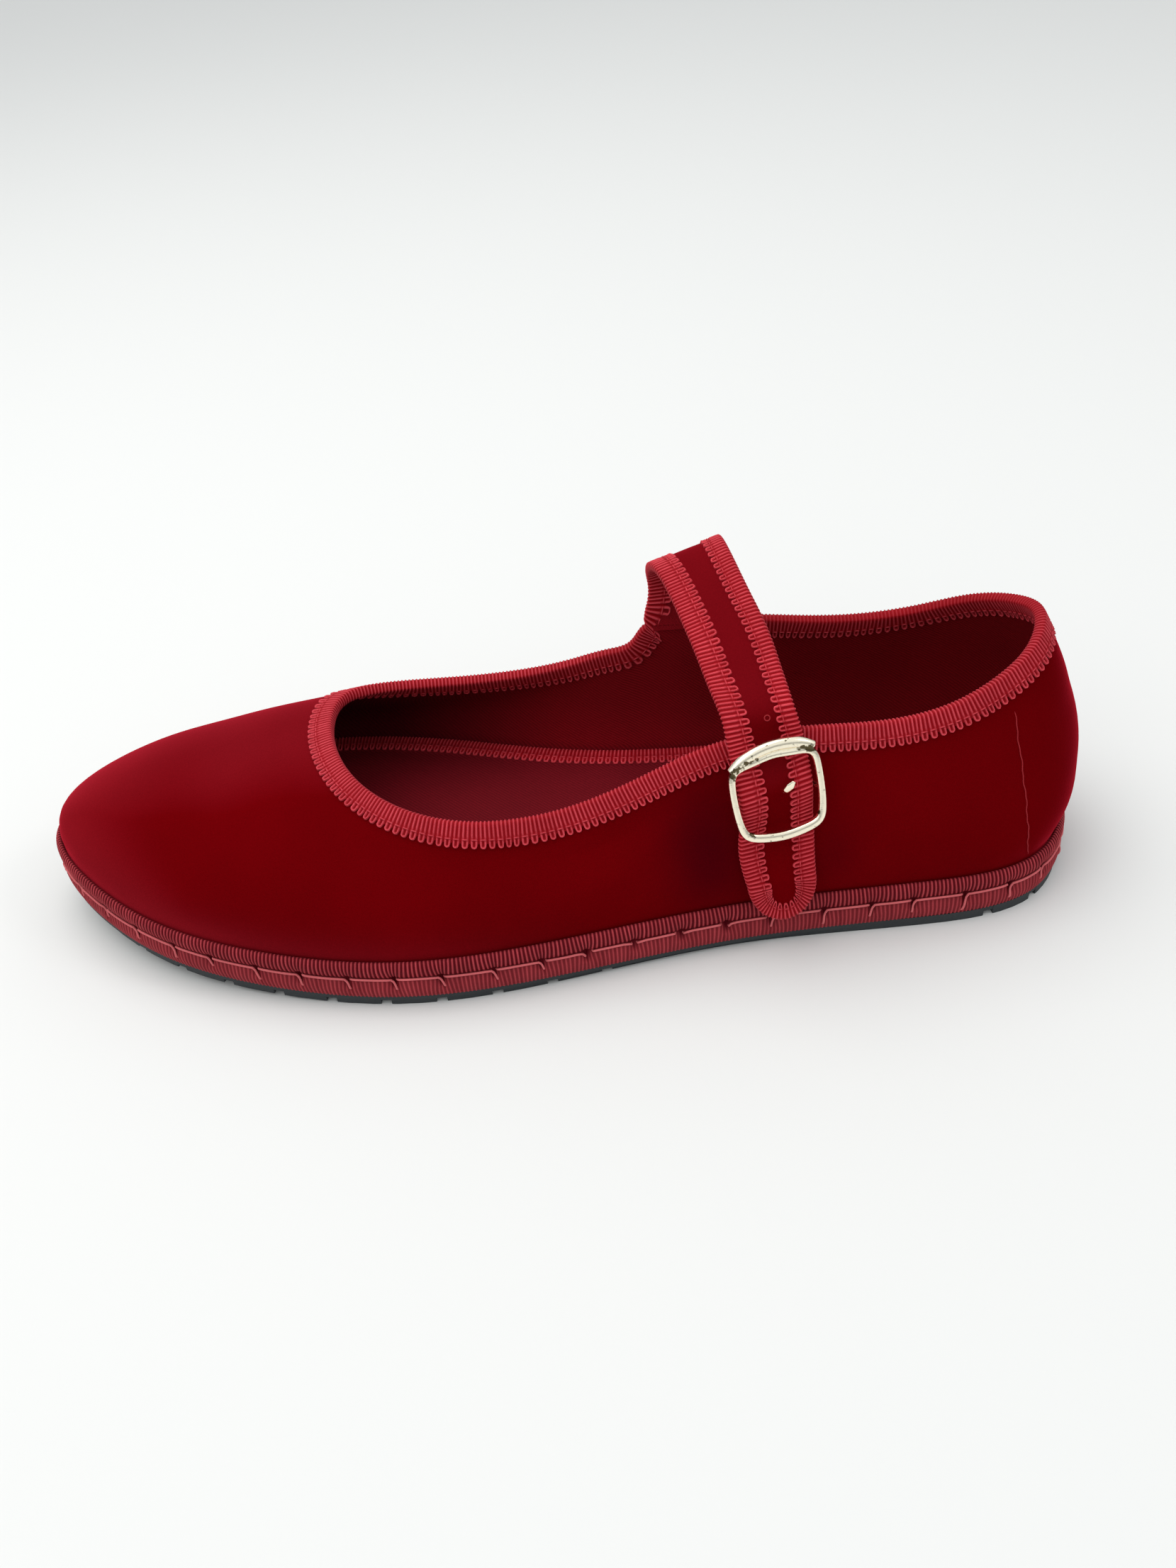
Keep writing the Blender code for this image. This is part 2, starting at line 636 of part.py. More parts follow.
def strap_rim(wall):
    """The inside of the tape's fold, from the root's toe side round the tip to its heel side.

    Gives its points, the vectors from them to the strap's middle and the normals,
    then how many rows are straight and how many turn round the tip.
    """
    edges = strap_edges(wall)
    middle, across, normal = strap_frame(edges)
    turn = np.linspace(0.0, math.pi, TIP_TURNS + 2)[1:-1]
    hit, wall_normal = wall.lateral(middle[-1][0] - TIP_LEAN, middle[-1][2] - TIP_DROP)
    tip = hit + wall_normal * TIP_LIFT
    run = unit(tip - middle[-1])
    tip_points = [middle[-1] + across[-1] * math.cos(a) + run * TIP_LENGTH * math.sin(a) for a in turn]
    tip_normal = unit(np.cross(run, across[-1]))
    if np.dot(tip_normal, normal[-1]) < 0.0:
        tip_normal = -tip_normal
    points = np.vstack([edges[:, 0], tip_points, edges[::-1, 1]])
    centres = np.vstack([middle, [middle[-1]] * len(turn), middle[::-1]])
    normals = np.vstack([normal, [tip_normal] * len(turn), normal[::-1]])
    points = points + unit(centres - points) * TAPE
    return points, centres - points, normals, len(edges), len(turn)


def strap_border(wall):
    """The rim with its inward directions, normals and the tape's width at each point."""
    points, inward, normals, rows, turns = strap_rim(wall)
    root, tip = STRAP_TAPE_WIDTH
    taper = np.linspace(root, tip, rows)
    width = np.concatenate([taper, [tip] * turns, taper[::-1]])[:, None]
    return points, unit(inward), normals, width, rows, turns


def build_strap(wall):
    """The strap's velvet: a border under the tape, filled across, ending in the round tip."""
    points, toward, normals, width, rows, turns = strap_border(wall)
    total = len(points)
    skin = normals * STRAP / 2
    outer, inner = points + toward * GAP, points + toward * width
    verts = np.vstack([outer + skin, inner + skin, outer - skin, inner - skin])
    faces = []
    for edge, filling in ((0, total), (2 * total, 3 * total)):
        for k in range(total - 1):
            faces.append((edge + k, edge + k + 1, filling + k + 1, filling + k))
        for k in range(rows - 1):
            across = filling + total - k - 1
            faces.append((filling + k, filling + k + 1, across - 1, across))
        last, first = filling + rows - 1, filling + rows + turns
        for k in range(turns // 2):
            faces.append((last + k, last + k + 1, first - k - 1, first - k))
        mid = filling + rows + turns // 2
        faces.append((mid - 1, mid, mid + 1))
    for k in range(total - 1):
        faces.append((k, k + 1, 2 * total + k + 1, 2 * total + k))
    root_line = (0, total, 2 * total - 1, total - 1)
    for a, b in zip(root_line[:-1], root_line[1:]):
        faces.append((a, b, 2 * total + b, 2 * total + a))
    return make_object("strap", verts, faces, "velvet")


def build_strap_tape(wall):
    """Tape folded over the strap's whole free edge: a U section round the tip."""
    points, toward, normals, width, _, _ = strap_border(wall)
    near = STRAP / 2 + GAP
    far = near + TAPE
    loops = np.stack([
        points + toward * width + normals * far,
        points + normals * far,
        points - toward * TAPE,
        points - normals * far,
        points + toward * width - normals * far,
        points + toward * width - normals * near,
        points - normals * near,
        points + normals * near,
        points + toward * width + normals * near,
    ], axis=1)
    verts, faces = loft(loops, closed=False)
    return make_object("strap_tape", verts, faces, "tape")


# ------------------------------------------------------------------- buckle
class Seat:
    """Rigid frame of the buckle: u across the strap, v up it, w out from the wall."""

    def __init__(self, wall):
        self.base, out = wall.lateral(BUCKLE_S, BUCKLE_Z)
        up = unit(np.array([0.0, 0.0, 1.0]) - out * out[2])
        heelward = unit(np.cross(up, out))
        if heelward[0] > 0.0:
            heelward = -heelward
        across, along_strap = self.turned(heelward, up, BUCKLE_TURN)
        self.u, out = self.turned(across, -out, BUCKLE_YAW)
        self.v, self.w = self.turned(along_strap, -out, BUCKLE_PITCH)

    @staticmethod
    def turned(first, second, degrees):
        """Two unit vectors turned in their plane, the first towards the second."""
        cos, sin = math.cos(math.radians(degrees)), math.sin(math.radians(degrees))
        return first * cos + second * sin, second * cos - first * sin

    def at(self, u, v, w):
        return self.base + self.u * u + self.v * v + self.w * w

    def on_stud(self, share):
        """Point on the pin's axis, a share of the way from its foot to its tip."""
        return self.at(*(a + (b - a) * share for a, b in zip(STUD_FOOT, STUD_TIP)))


def wire(path, radii, sides, closed):
    """A round wire along a path of points."""
    path = np.asarray(path, float)
    if closed:
        run = unit(np.roll(path, -1, axis=0) - np.roll(path, 1, axis=0))
    else:
        run = unit(np.gradient(path, axis=0))
    loops = []
    for point, direction, radius in zip(path, run, radii):
        across = unit(np.cross(direction, (0.31, 0.17, 0.93)))
        other = np.cross(direction, across)
        angles = np.linspace(0.0, 2 * math.pi, sides, endpoint=False)
        loops.append([point + (across * math.cos(a) + other * math.sin(a)) * radius for a in angles])
    return loft(loops, closed)


def mirrored(half):
    """Rows of a symmetric table from its right end over the middle to its left end."""
    half = np.array(half)
    left = half[1:] * (-1.0, 1.0, 1.0)
    return np.vstack([half[::-1], left])


def build_buckle(seat):
    """Frame, crest, dropped centre bar and stud, cast in one."""
    rows = mirrored(FRAME)
    knots = along(rows[:, :2])
    path = cubic(knots, rows, np.linspace(0.0, knots[-1], FRAME_STEPS + 1), closed=True)[:-1]
    frame_path = [seat.at(u, v, BUCKLE_LIFT) for u, v, _ in path]
    frame = make_object("buckle", *wire(frame_path, path[:, 2], 10, closed=True), "gold")

    rows = mirrored(CREST)
    knots = along(rows[:, :2])
    path = cubic(knots, rows, np.linspace(0.0, knots[-1], CREST_STEPS + 1))
    crest_path = [seat.at(u, v, BUCKLE_LIFT) for u, v, _ in path]
    crest_mesh = wire(crest_path, path[:, 2], 10, closed=False)
    crest = make_object("buckle_crest_shape", *crest_mesh, "gold")

    half = max(u for u, _, _ in FRAME)
    crank = [(half - inward, BUCKLE_LIFT + (BAR_LIFT - BUCKLE_LIFT) * drop) for inward, drop in BAR_CRANK]
    bar_line = [(-u, w) for u, w in crank] + crank[::-1]
    bar_mesh = wire([seat.at(u, 0.0, w) for u, w in bar_line], [BAR] * len(bar_line), 8, closed=False)
    bar = make_object("buckle_bar_shape", *bar_mesh, "gold")
    stud_path = [seat.on_stud(share) for share in (0.0, STUD_SHOULDER, 1.0)]
    stud_mesh = wire(stud_path, [STUD, STUD, STUD * STUD_POINT], 8, closed=False)
    stud = make_object("buckle_stud_shape", *stud_mesh, "gold")
    for shape in (crest, bar, stud):
        shape.hide_render = True
        shape.display_type = "WIRE"
        join = frame.modifiers.new(shape.name, "BOOLEAN")
        join.operation = "UNION"
        join.solver = "EXACT"
        join.object = shape
    return frame


def build_keeper_loop(seat):
    """Narrow tape folded round the centre bar, with a slot that clears the stud."""
    mid = BAR + GAP + LOOP_TAPE / 2
    line = [(LOOP_RISE, LOOP_FOOT[0])]
    for angle in np.linspace(-math.pi / 2, -7 * math.pi / 4, LOOP_TURNS):
        line.append((mid * math.cos(angle), BAR_LIFT + mid * math.sin(angle)))
    line.append((LOOP_RISE, LOOP_FOOT[1]))
    line = np.array(line)
    run = unit(np.gradient(line, axis=0))
    side = np.column_stack([-run[:, 1], run[:, 0]]) * LOOP_TAPE / 2
    loops = []
    for (v, w), (dv, dw) in zip(line, side):
        half = LOOP_WIDTH / 2
        loops.append([seat.at(-half, v + dv, w + dw), seat.at(half, v + dv, w + dw),
                      seat.at(half, v - dv, w - dw), seat.at(-half, v - dv, w - dw)])
    loop = make_object("keeper_loop", *loft(loops, closed=False), "tape")
    left, right = STUD_FOOT[0] - LOOP_SLOT / 2, STUD_FOOT[0] + LOOP_SLOT / 2
    plan = ((left, LOOP_SLOT_FROM), (right, LOOP_SLOT_FROM), (right, LOOP_SLOT_TO), (left, LOOP_SLOT_TO))
    heights = (BAR_LIFT - LOOP_SLOT_DEEP, BAR_LIFT + 2 * CUT_PAST)
    corners = [seat.at(u, v, w) for w in heights for u, v in plan]
    cutter = make_object("loop_cutter", corners, QUADS_OF_BOX, "tape", smooth=False)
    cut_with(loop, cutter)
    return loop


def punch_strap(strap, seat):
    """Round hole through the strap for the stud."""
    path = [seat.on_stud(share) for share in (0.1, 1.1)]
    cutter = make_object("hole_cutter", *wire(path, [STRAP_HOLE] * 2, 12, closed=False), "tape")
    cut_with(strap, cutter)


def centre_on_floor(objects):
    """Moves every mesh so that the pieces' box is centred on the origin, on the floor."""
    bpy.context.view_layer.update()
    scene = bpy.context.evaluated_depsgraph_get()
    corners = []
    for piece in objects:
        if not piece.hide_render:
            corners.extend(vertex.co.copy() for vertex in piece.evaluated_get(scene).data.vertices)
    low = [min(corner[k] for corner in corners) for k in range(3)]
    high = [max(corner[k] for corner in corners) for k in range(3)]
    shift = Vector(((low[0] + high[0]) / 2, (low[1] + high[1]) / 2, low[2]))
    for piece in objects:
        for vertex in piece.data.vertices:
            vertex.co -= shift
    print("box", [round((b - a) / MM, 1) for a, b in zip(low, high)])
    print("shift", [round(v / MM, 2) for v in shift])


def main():
    for old in list(bpy.data.objects):
        bpy.data.objects.remove(old, do_unlink=True)
    build_outsole()
    build_midsole()
    build_insole()
    grid, normals = upper_surface()
    build_upper(grid, normals)
    build_topline_tape(grid, normals)
    wall = Wall(grid)
    seat = Seat(wall)
    strap = build_strap(wall)
    punch_strap(strap, seat)
    build_strap_tape(wall)
    build_buckle(seat)
    build_keeper_loop(seat)
    centre_on_floor(list(bpy.data.objects))


main()
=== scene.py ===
# %% [markdown]
# # A velvet flat with a buckled strap
#
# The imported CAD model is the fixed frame: it gives the size and the place of every
# piece. This lesson dresses it. Each textile piece of the real shoe is cut flat and then
# laid over a last, so most pieces here start as a flat grid too, and are laid on the
# same guide lines that the solids follow.

# %% Load the frame
import math

import bpy
import numpy as np
from mathutils import Matrix, Vector
from mathutils.bvhtree import BVHTree


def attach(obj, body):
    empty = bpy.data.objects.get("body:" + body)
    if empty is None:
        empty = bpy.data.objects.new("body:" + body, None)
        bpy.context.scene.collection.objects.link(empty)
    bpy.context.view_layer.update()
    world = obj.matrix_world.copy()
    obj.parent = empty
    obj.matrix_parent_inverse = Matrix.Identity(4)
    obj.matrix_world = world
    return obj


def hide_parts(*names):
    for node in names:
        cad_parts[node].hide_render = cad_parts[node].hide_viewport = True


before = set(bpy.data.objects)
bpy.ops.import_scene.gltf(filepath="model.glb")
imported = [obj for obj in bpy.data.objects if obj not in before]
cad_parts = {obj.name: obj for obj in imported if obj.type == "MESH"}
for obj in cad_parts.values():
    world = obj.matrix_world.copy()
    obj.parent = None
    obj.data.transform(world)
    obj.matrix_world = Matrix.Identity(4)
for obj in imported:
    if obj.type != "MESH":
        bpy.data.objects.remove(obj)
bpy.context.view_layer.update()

print("nodes", sorted(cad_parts))

# %% [markdown]
# ## Shoe coordinates
#
# A shoemaker measures along the sole from the heel and across from its middle line. The
# guide lines keep that habit: s runs forward from the heel end, y towards the inner side
# of the foot, z up from the floor, all in millimetres. One function turns them into
# Blender's metres, and one reads a finished mesh back.

# %% From shoe coordinates to the frame and back
MM = 0.001
HEEL_END_X = 127.17            # where s = 0 lies in the frame
MIDDLE_Y = 2.07                # where y = 0 lies in the frame
TURN = (-1.0, 1.0, 1.0)        # for directions: s runs against the frame's x


def to_frame(points):
    points = np.asarray(points, float)
    return np.stack([HEEL_END_X - points[..., 0], points[..., 1] + MIDDLE_Y, points[..., 2]], -1) * MM


def corners(piece, what="co"):
    """Places or normals of a mesh's corners, one row each."""
    flat = np.empty(len(piece.data.vertices) * 3)
    piece.data.vertices.foreach_get(what, flat)
    return flat.reshape(-1, 3)


def shoe_corners(piece):
    """The corners of a finished mesh in shoe coordinates: s, y and z."""
    x, y, z = corners(piece).T / MM
    return HEEL_END_X - x, y - MIDDLE_Y, z


# %% [markdown]
# ## Camera, floor and light
#
# The shoe is seen from its outer side and from above, a little rolled, as someone leaning
# over a table sees it. The lens has to be fairly wide and near, or the toe would look too
# small beside the heel. A plain pale floor and large soft lamps give velvet what it
# needs: its pile shows by where it catches light at a low angle.

# %% Camera
EYE = Vector((18.58, -295.85, 251.70)) * MM
LOOK_AT = Vector((8.18, 2.07, 23.77)) * MM
ROLL = math.radians(-5.53)
LENS = 34.0


def add_camera():
    ahead = (LOOK_AT - EYE).normalized()
    right = ahead.cross(Vector((0.0, 0.0, 1.0))).normalized()
    up = right.cross(ahead)
    across = right * math.cos(ROLL) + up * math.sin(ROLL)
    upward = up * math.cos(ROLL) - right * math.sin(ROLL)
    data = bpy.data.cameras.new("camera")
    data.lens, data.clip_start = LENS, 0.01
    camera = bpy.data.objects.new("camera", data)
    bpy.context.scene.collection.objects.link(camera)
    turn = Matrix((across, upward, -ahead)).transposed()
    camera.matrix_world = Matrix.Translation(EYE) @ turn.to_4x4()
    bpy.context.scene.camera = camera
    return camera


print("camera", add_camera().name)

# %% Short ways to set up a material


def fill(tree, node, sockets):
    """Fills a node's sockets: an output is linked, a value is set, a colour gets its alpha."""
    for name, value in sockets.items():
        socket = node.inputs[name]
        if isinstance(value, bpy.types.NodeSocket):
            tree.links.new(value, socket)
        else:
            socket.default_value = (*value, 1.0) if socket.type == "RGBA" else value


def add_node(tree, kind, sockets=(), **settings):
    """Adds a shader node, changes its settings and fills its sockets."""
    node = tree.nodes.new("ShaderNode" + kind)
    for name, value in settings.items():
        setattr(node, name, value)
    fill(tree, node, dict(sockets))
    return node


def add_mix(tree, share, first, second):
    """Mixes two colours by a share that comes from a socket."""
    return add_node(tree, "Mix", {"Factor": share, 6: first, 7: second}, data_type="RGBA").outputs[2]


def new_material(name, sockets):
    """A material, its tree and its shader, with the shader's constants set."""
    material = bpy.data.materials.new(name)
    material.use_nodes = True
    tree = material.node_tree
    shader = tree.nodes["Principled BSDF"]
    fill(tree, shader, sockets)
    return material, tree, shader


# %% Floor and light
# name, place, aimed at, size, watts, colour
LAMPS = (
    ("overhead", (-0.30, 0.20, 0.95), (-0.04, 0.05, 0.0), 1.00, 5.1, (1.0, 0.99, 0.97)),
    ("front", (-0.45, -0.55, 0.80), (0.0, 0.0, 0.02), 0.80, 1.3, (1.0, 0.98, 0.96)),
    ("heel_side", (0.70, -0.15, 0.80), (0.05, 0.0, 0.03), 0.30, 1.0, (0.97, 0.98, 1.0)),
)
WALLS, CEILING, STUDIO_GLOW = (0.34, 0.35, 0.36), (0.95, 0.97, 0.98), 0.92


def deselect():
    for thing in bpy.context.selected_objects:
        thing.select_set(False)


def studio_world():
    """A pale ceiling over darker walls: the metal needs something dark to reflect."""
    world = bpy.data.worlds.new("studio")
    world.use_nodes = True
    tree = world.node_tree
    ray = add_node(tree, "TexCoord").outputs["Generated"]
    split = add_node(tree, "SeparateXYZ", {"Vector": ray})
    rise = add_node(tree, "MapRange", {"Value": split.outputs["Z"], "From Min": 0.10, "From Max": 0.50})
    colour = add_mix(tree, rise.outputs["Result"], WALLS, CEILING)
    fill(tree, tree.nodes["Background"], {"Color": colour, "Strength": STUDIO_GLOW})
    return world


def add_stage():
    deselect()
    bpy.ops.mesh.primitive_plane_add(size=9.0, location=(0.0, 0.0, 0.0))
    floor = bpy.context.object
    floor.name = "floor"
    pale = {"Base Color": (0.725, 0.73, 0.72), "Roughness": 0.75, "Specular IOR Level": 0.15}
    floor.data.materials.append(new_material("pale_floor", pale)[0])
    for name, place, aim, size, watts, colour in LAMPS:
        data = bpy.data.lights.new(name, "AREA")
        data.shape, data.size, data.energy, data.color = "DISK", size, watts, colour
        lamp = bpy.data.objects.new(name, data)
        bpy.context.scene.collection.objects.link(lamp)
        lamp.location = place
        lamp.rotation_euler = (Vector(aim) - Vector(place)).to_track_quat("-Z", "Y").to_euler()
    bpy.context.scene.world = studio_world()
    bpy.context.scene.view_settings.view_transform = "Standard"
    return floor


print("floor", add_stage().name)

# %% [markdown]
# ## Guide lines
#
# A cubic spline through a few measured rows is how a last maker's templates work: the
# rows carry the sizes, the spline carries the smoothness between them. The same tables
# shaped the solids, so what is laid on these guides fits them without measuring again.

# %% Splines and lengths


def cubic(knots, values, at, closed=False):
    """Cubic spline through values at knots; closed joins the last knot to the first."""
    knots, values = np.asarray(knots, float), np.asarray(values, float)
    step, rise = np.diff(knots), np.diff(values, axis=0)
    slope = rise / step[:, None]
    count = len(knots) - 1 if closed else len(knots)
    system, target = np.eye(count), np.zeros((count, values.shape[1]))
    for i in range(count) if closed else range(1, count - 1):
        before, after = (i - 1) % len(step), i
        system[i, :] = 0.0
        system[i, (i - 1) % count] += step[before]
        system[i, i] += 2.0 * (step[before] + step[after])
        system[i, (i + 1) % count] += step[after]
        target[i] = 6.0 * (slope[after] - slope[before])
    bend = np.linalg.solve(system, target)
    if closed:
        bend = np.vstack([bend, bend[:1]])
    at = np.asarray(at, float)
    i = np.clip(np.searchsorted(knots, at, side="right") - 1, 0, len(step) - 1)
    a = ((knots[i + 1] - at) / step[i])[:, None]
    b = 1.0 - a
    curve = ((a ** 3 - a) * bend[i] + (b ** 3 - b) * bend[i + 1]) * (step[i] ** 2)[:, None] / 6.0
    return a * values[i] + b * values[i + 1] + curve


def along(points, closed=False):
    """Running length along a list of points."""
    points = np.asarray(points, float)
    if closed:
        points = np.vstack([points, points[:1]])
    return np.concatenate([[0.0], np.cumsum(np.linalg.norm(np.diff(points, axis=0), axis=1))])


def unit(vectors):
    return vectors / np.linalg.norm(vectors, axis=-1, keepdims=True)


def bell(*parts):
    """A soft spot: 1 where every distance is 0, falling off over its reach."""
    return np.exp(-sum((distance / reach) ** 2 for distance, reach in parts))


def ramp(value, start, end):
    """0 before start, 1 past end and straight in between."""
    return np.clip((value - start) / (end - start), 0.0, 1.0)


def at_length(points, stops):
    """Points read off a line at given lengths from its start."""
    points = np.asarray(points, float)
    run = along(points)
    flat = points.reshape(len(points), -1)
    read = np.stack([np.interp(stops, run, flat[:, k]) for k in range(flat.shape[1])], -1)
    return read.reshape((len(stops),) + points.shape[1:])


# %% The sole's outline and underside
LENGTH = 256.5
TOE_SPRING, TOE_SPRING_FROM = 7.5, 162.0       # mm that the toe lifts, and from which s on
HEEL_LIFT, HEEL_LIFT_FROM = 0.4, 14.0
# s, outer y, inner y of the sole's edge
OUTLINE = (
    (12, -28.4, 24.6), (40, -35.3, 31.5), (85, -38.4, 29.8), (125, -45.8, 33),
    (160, -50, 42.6), (195, -45, 45.2), (220, -36.2, 37.6), (240, -22.6, 25.4),
)
ROWS = [(0.0, -1.5)] + [(s, y) for s, y, _ in OUTLINE]
ROWS += [(LENGTH, 5.7)] + [(s, y) for s, _, y in reversed(OUTLINE)]
KNOTS = along(ROWS, closed=True)
LINE = cubic(KNOTS, np.vstack([ROWS, ROWS[:1]]), np.linspace(0.0, KNOTS[-1], 2881), closed=True)
LINE_AT = along(LINE)
AROUND = LINE_AT[-1]
TOE_INDEX = int(LINE[:, 0].argmax())


def on_outline(at):
    """Points of the outline and outward normals at lengths measured from the heel end."""
    at = np.asarray(at, float)

    def read(place):
        return np.stack([np.interp(place % AROUND, LINE_AT, LINE[:, k]) for k in (0, 1)], -1)
    run = unit(read(at + 1.5) - read(at - 1.5))
    return read(at), np.stack([run[..., 1], -run[..., 0]], -1)


def outline_at(sole_s):
    """Length along the outline of the point at sole_s, negative on the inner side."""
    half = slice(0, TOE_INDEX + 1) if sole_s >= 0.0 else slice(None, TOE_INDEX - 1, -1)
    return np.interp(abs(sole_s), LINE[half, 0], LINE_AT[half])


def ground(s):
    """Height of the sole's underside: flat, with toe spring and a lifted back edge."""
    toe = np.clip((s - TOE_SPRING_FROM) / (LENGTH - TOE_SPRING_FROM), 0.0, 1.1)
    heel = np.clip((HEEL_LIFT_FROM - s) / HEEL_LIFT_FROM, 0.0, 1.3)
    return TOE_SPRING * toe ** 2 + HEEL_LIFT * heel ** 2


def on_sole(at, inset, height):
    """Points this far inside the sole's edge and this high over its underside."""
    point, out = on_outline(at)
    spot = point - out * inset
    return np.column_stack([spot, ground(spot[:, 0]) + height])


print("sole's edge, mm around", round(AROUND, 1))

# %% The upper's wall
# clearance between pieces, heights of the sole's top and of its edge, how far the wall
# stands inside that edge, and the wall's thickness
GAP, SEAT, BAND_TOP, LIP, WALL = 0.3, 11.0, 13.4, 1.0, 1.6
# One row for each line up the wall, round the shoe from the heel: place on the sole,
# end on the topline (s, y, z), lower handle and its lean, upper handle and its slope
UPPER = np.array((
    (0, 9, 0, 64.9, 20, 28, 20, 28), (3, 12.5, -10, 62.9, 19, 26, 19, 28),
    (14, 21, -17.3, 59.2, 17, 18, 17, 24), (33, 35, -22.5, 54.8, 16, 14, 15, 22),
    (50, 50, -24.6, 53.4, 16, 12, 15, 21), (66, 65, -25.6, 54.2, 16, 12, 15, 21),
    (82, 80, -26.2, 53.8, 16, 12, 15, 21), (96, 93, -27, 50.6, 15, 12, 14, 22),
    (112, 107, -28.6, 45, 13, 13, 12, 25), (129, 121, -31, 40.9, 11, 14, 11, 28),
    (148, 135, -33, 39.6, 11, 14, 11, 33), (172, 150, -33, 40.7, 12, 12, 13, 44),
    (196, 163, -28, 42.4, 13, 10, 18, 58), (221, 173.5, -18, 43.9, 14, 10, 27, 69),
    (242, 179.6, -5.5, 44.8, 14.8, 9, 35, 77), (256.5, 181.6, 7.5, 45.1, 15.2, 8, 38, 79),
    (-242, 178, 18.5, 44.7, 15.2, 9, 35, 79), (-222, 166.5, 24.6, 42.6, 14.6, 11, 27, 70),
    (-198, 151, 27.2, 40.9, 13, 10, 19, 56), (-170, 135, 28.2, 40.9, 12, 12, 15, 42),
    (-142, 121, 28.6, 42.8, 12, 12, 13, 28), (-124, 111.4, 28.4, 45.1, 13, 11, 13, 20),
    (-110, 104.6, 28, 48, 14, 10.5, 13, 13), (-103, 101.2, 27.4, 52.6, 15, 10, 14, 10),
    (-93, 91, 26.1, 53.7, 15.5, 10, 14, 10), (-83, 81, 24.8, 54.6, 16, 10, 14, 10),
    (-66, 65, 23.9, 53.8, 16, 11, 14, 14), (-50, 50, 24.6, 52.2, 16, 12, 15, 18),
    (-33, 34, 24.2, 53.4, 16, 14, 15, 22), (-14, 21, 19.6, 58.3, 17, 19, 17, 25),
    (-3, 12.5, 11, 62.5, 19, 27, 19, 28),
))
TABLE = np.column_stack([[outline_at(s) for s in UPPER[:, 0]], UPPER[:, 1:]])
TABLE = np.vstack([TABLE, TABLE[:1]])
TABLE[-1, 0] += AROUND
WALL_KNOTS = 0.5 * (along(on_outline(TABLE[:, 0])[0]) + along(TABLE[:, 1:4]))
print("wall rows", len(UPPER), "and mm round the wall", round(WALL_KNOTS[-1], 1))

# %% Fine lines up the wall


def wall_lines(at):
    """Fine lines up the wall's outer face at places round it: from the brim to the topline."""
    drift = TABLE[:, 0] - WALL_KNOTS / WALL_KNOTS[-1] * AROUND
    rows = cubic(WALL_KNOTS, np.column_stack([drift, TABLE[:, 1:]]), at, closed=True)
    place = rows[:, 0] + at / WALL_KNOTS[-1] * AROUND
    foot, out = on_sole(place, LIP + GAP, SEAT + GAP), on_outline(place)[1]
    brim = foot + np.array([0.0, 0.0, BAND_TOP - SEAT])
    top = rows[:, 1:4]
    rise, lean = rows[:, 4:5], np.radians(rows[:, 5:6])
    reach, slope = rows[:, 6:7], np.radians(rows[:, 7:8])
    fan = unit(foot[:, :2] - top[:, :2])
    low = brim + rise * np.hstack([out * np.sin(lean), np.cos(lean)])
    high = top + reach * np.hstack([fan * np.sin(slope), -np.cos(slope)])
    t = np.linspace(0.0, 1.0, 61)[None, :, None]
    line = ((1 - t) ** 3 * brim[:, None] + 3 * t * (1 - t) ** 2 * low[:, None]
            + 3 * t ** 2 * (1 - t) * high[:, None] + t ** 3 * top[:, None])
    return foot, line


def outward(grid):
    """Unit normals of a grid of points on the wall, pointing away from the foot."""
    normals = unit(np.cross(np.gradient(grid, axis=1), np.gradient(grid, axis=0)))
    away = np.sum(normals * (grid - grid.mean(axis=(0, 1))))
    return normals if away > 0.0 else -normals


def wall_grid(at, rows):
    """The whole outer face, foot to topline, in even steps up each line."""
    return np.array([np.vstack([foot, at_length(line, np.linspace(0.0, along(line)[-1], rows))])
                     for foot, line in zip(*wall_lines(at))])


WALL_AT = np.linspace(0.0, WALL_KNOTS[-1], 421)
WALL_GRID = wall_grid(WALL_AT, 44)
WALL_OUT = outward(WALL_GRID)
print("wall grid", WALL_GRID.shape)

# %% Reading points off the wall


def wall_tree():
    size = WALL_GRID.shape[1]
    faces = [(i * size + k, (i + 1) * size + k, (i + 1) * size + k + 1, i * size + k + 1)
             for i in range(WALL_GRID.shape[0] - 1) for k in range(size - 1)]
    return BVHTree.FromPolygons([tuple(p) for p in WALL_GRID.reshape(-1, 3)], faces)


TREE = wall_tree()
FACING = float(np.sign(np.dot(TREE.find_nearest(Vector(WALL_GRID[60, 20]))[1], WALL_OUT[60, 20])))


def outer_wall(s, z, side=-1.0):
    """Point and outward normal of the wall at s and z; side is -1 for its outer side."""
    hit, normal, _, _ = TREE.ray_cast(Vector((s, 200.0 * side, z)), Vector((0.0, -side, 0.0)))
    normal = np.array(normal)
    return np.array(hit), normal if normal[1] * side > 0.0 else -normal


def evened(rows, reach):
    """Rolling mean over rows, so that the wall's small flats don't show."""
    kernel = np.hanning(2 * reach + 3)[1:-1]
    padded = np.pad(rows, ((reach, reach), (0, 0)), mode="edge")
    return np.stack([np.convolve(column, kernel / kernel.sum(), "valid") for column in padded.T], -1)


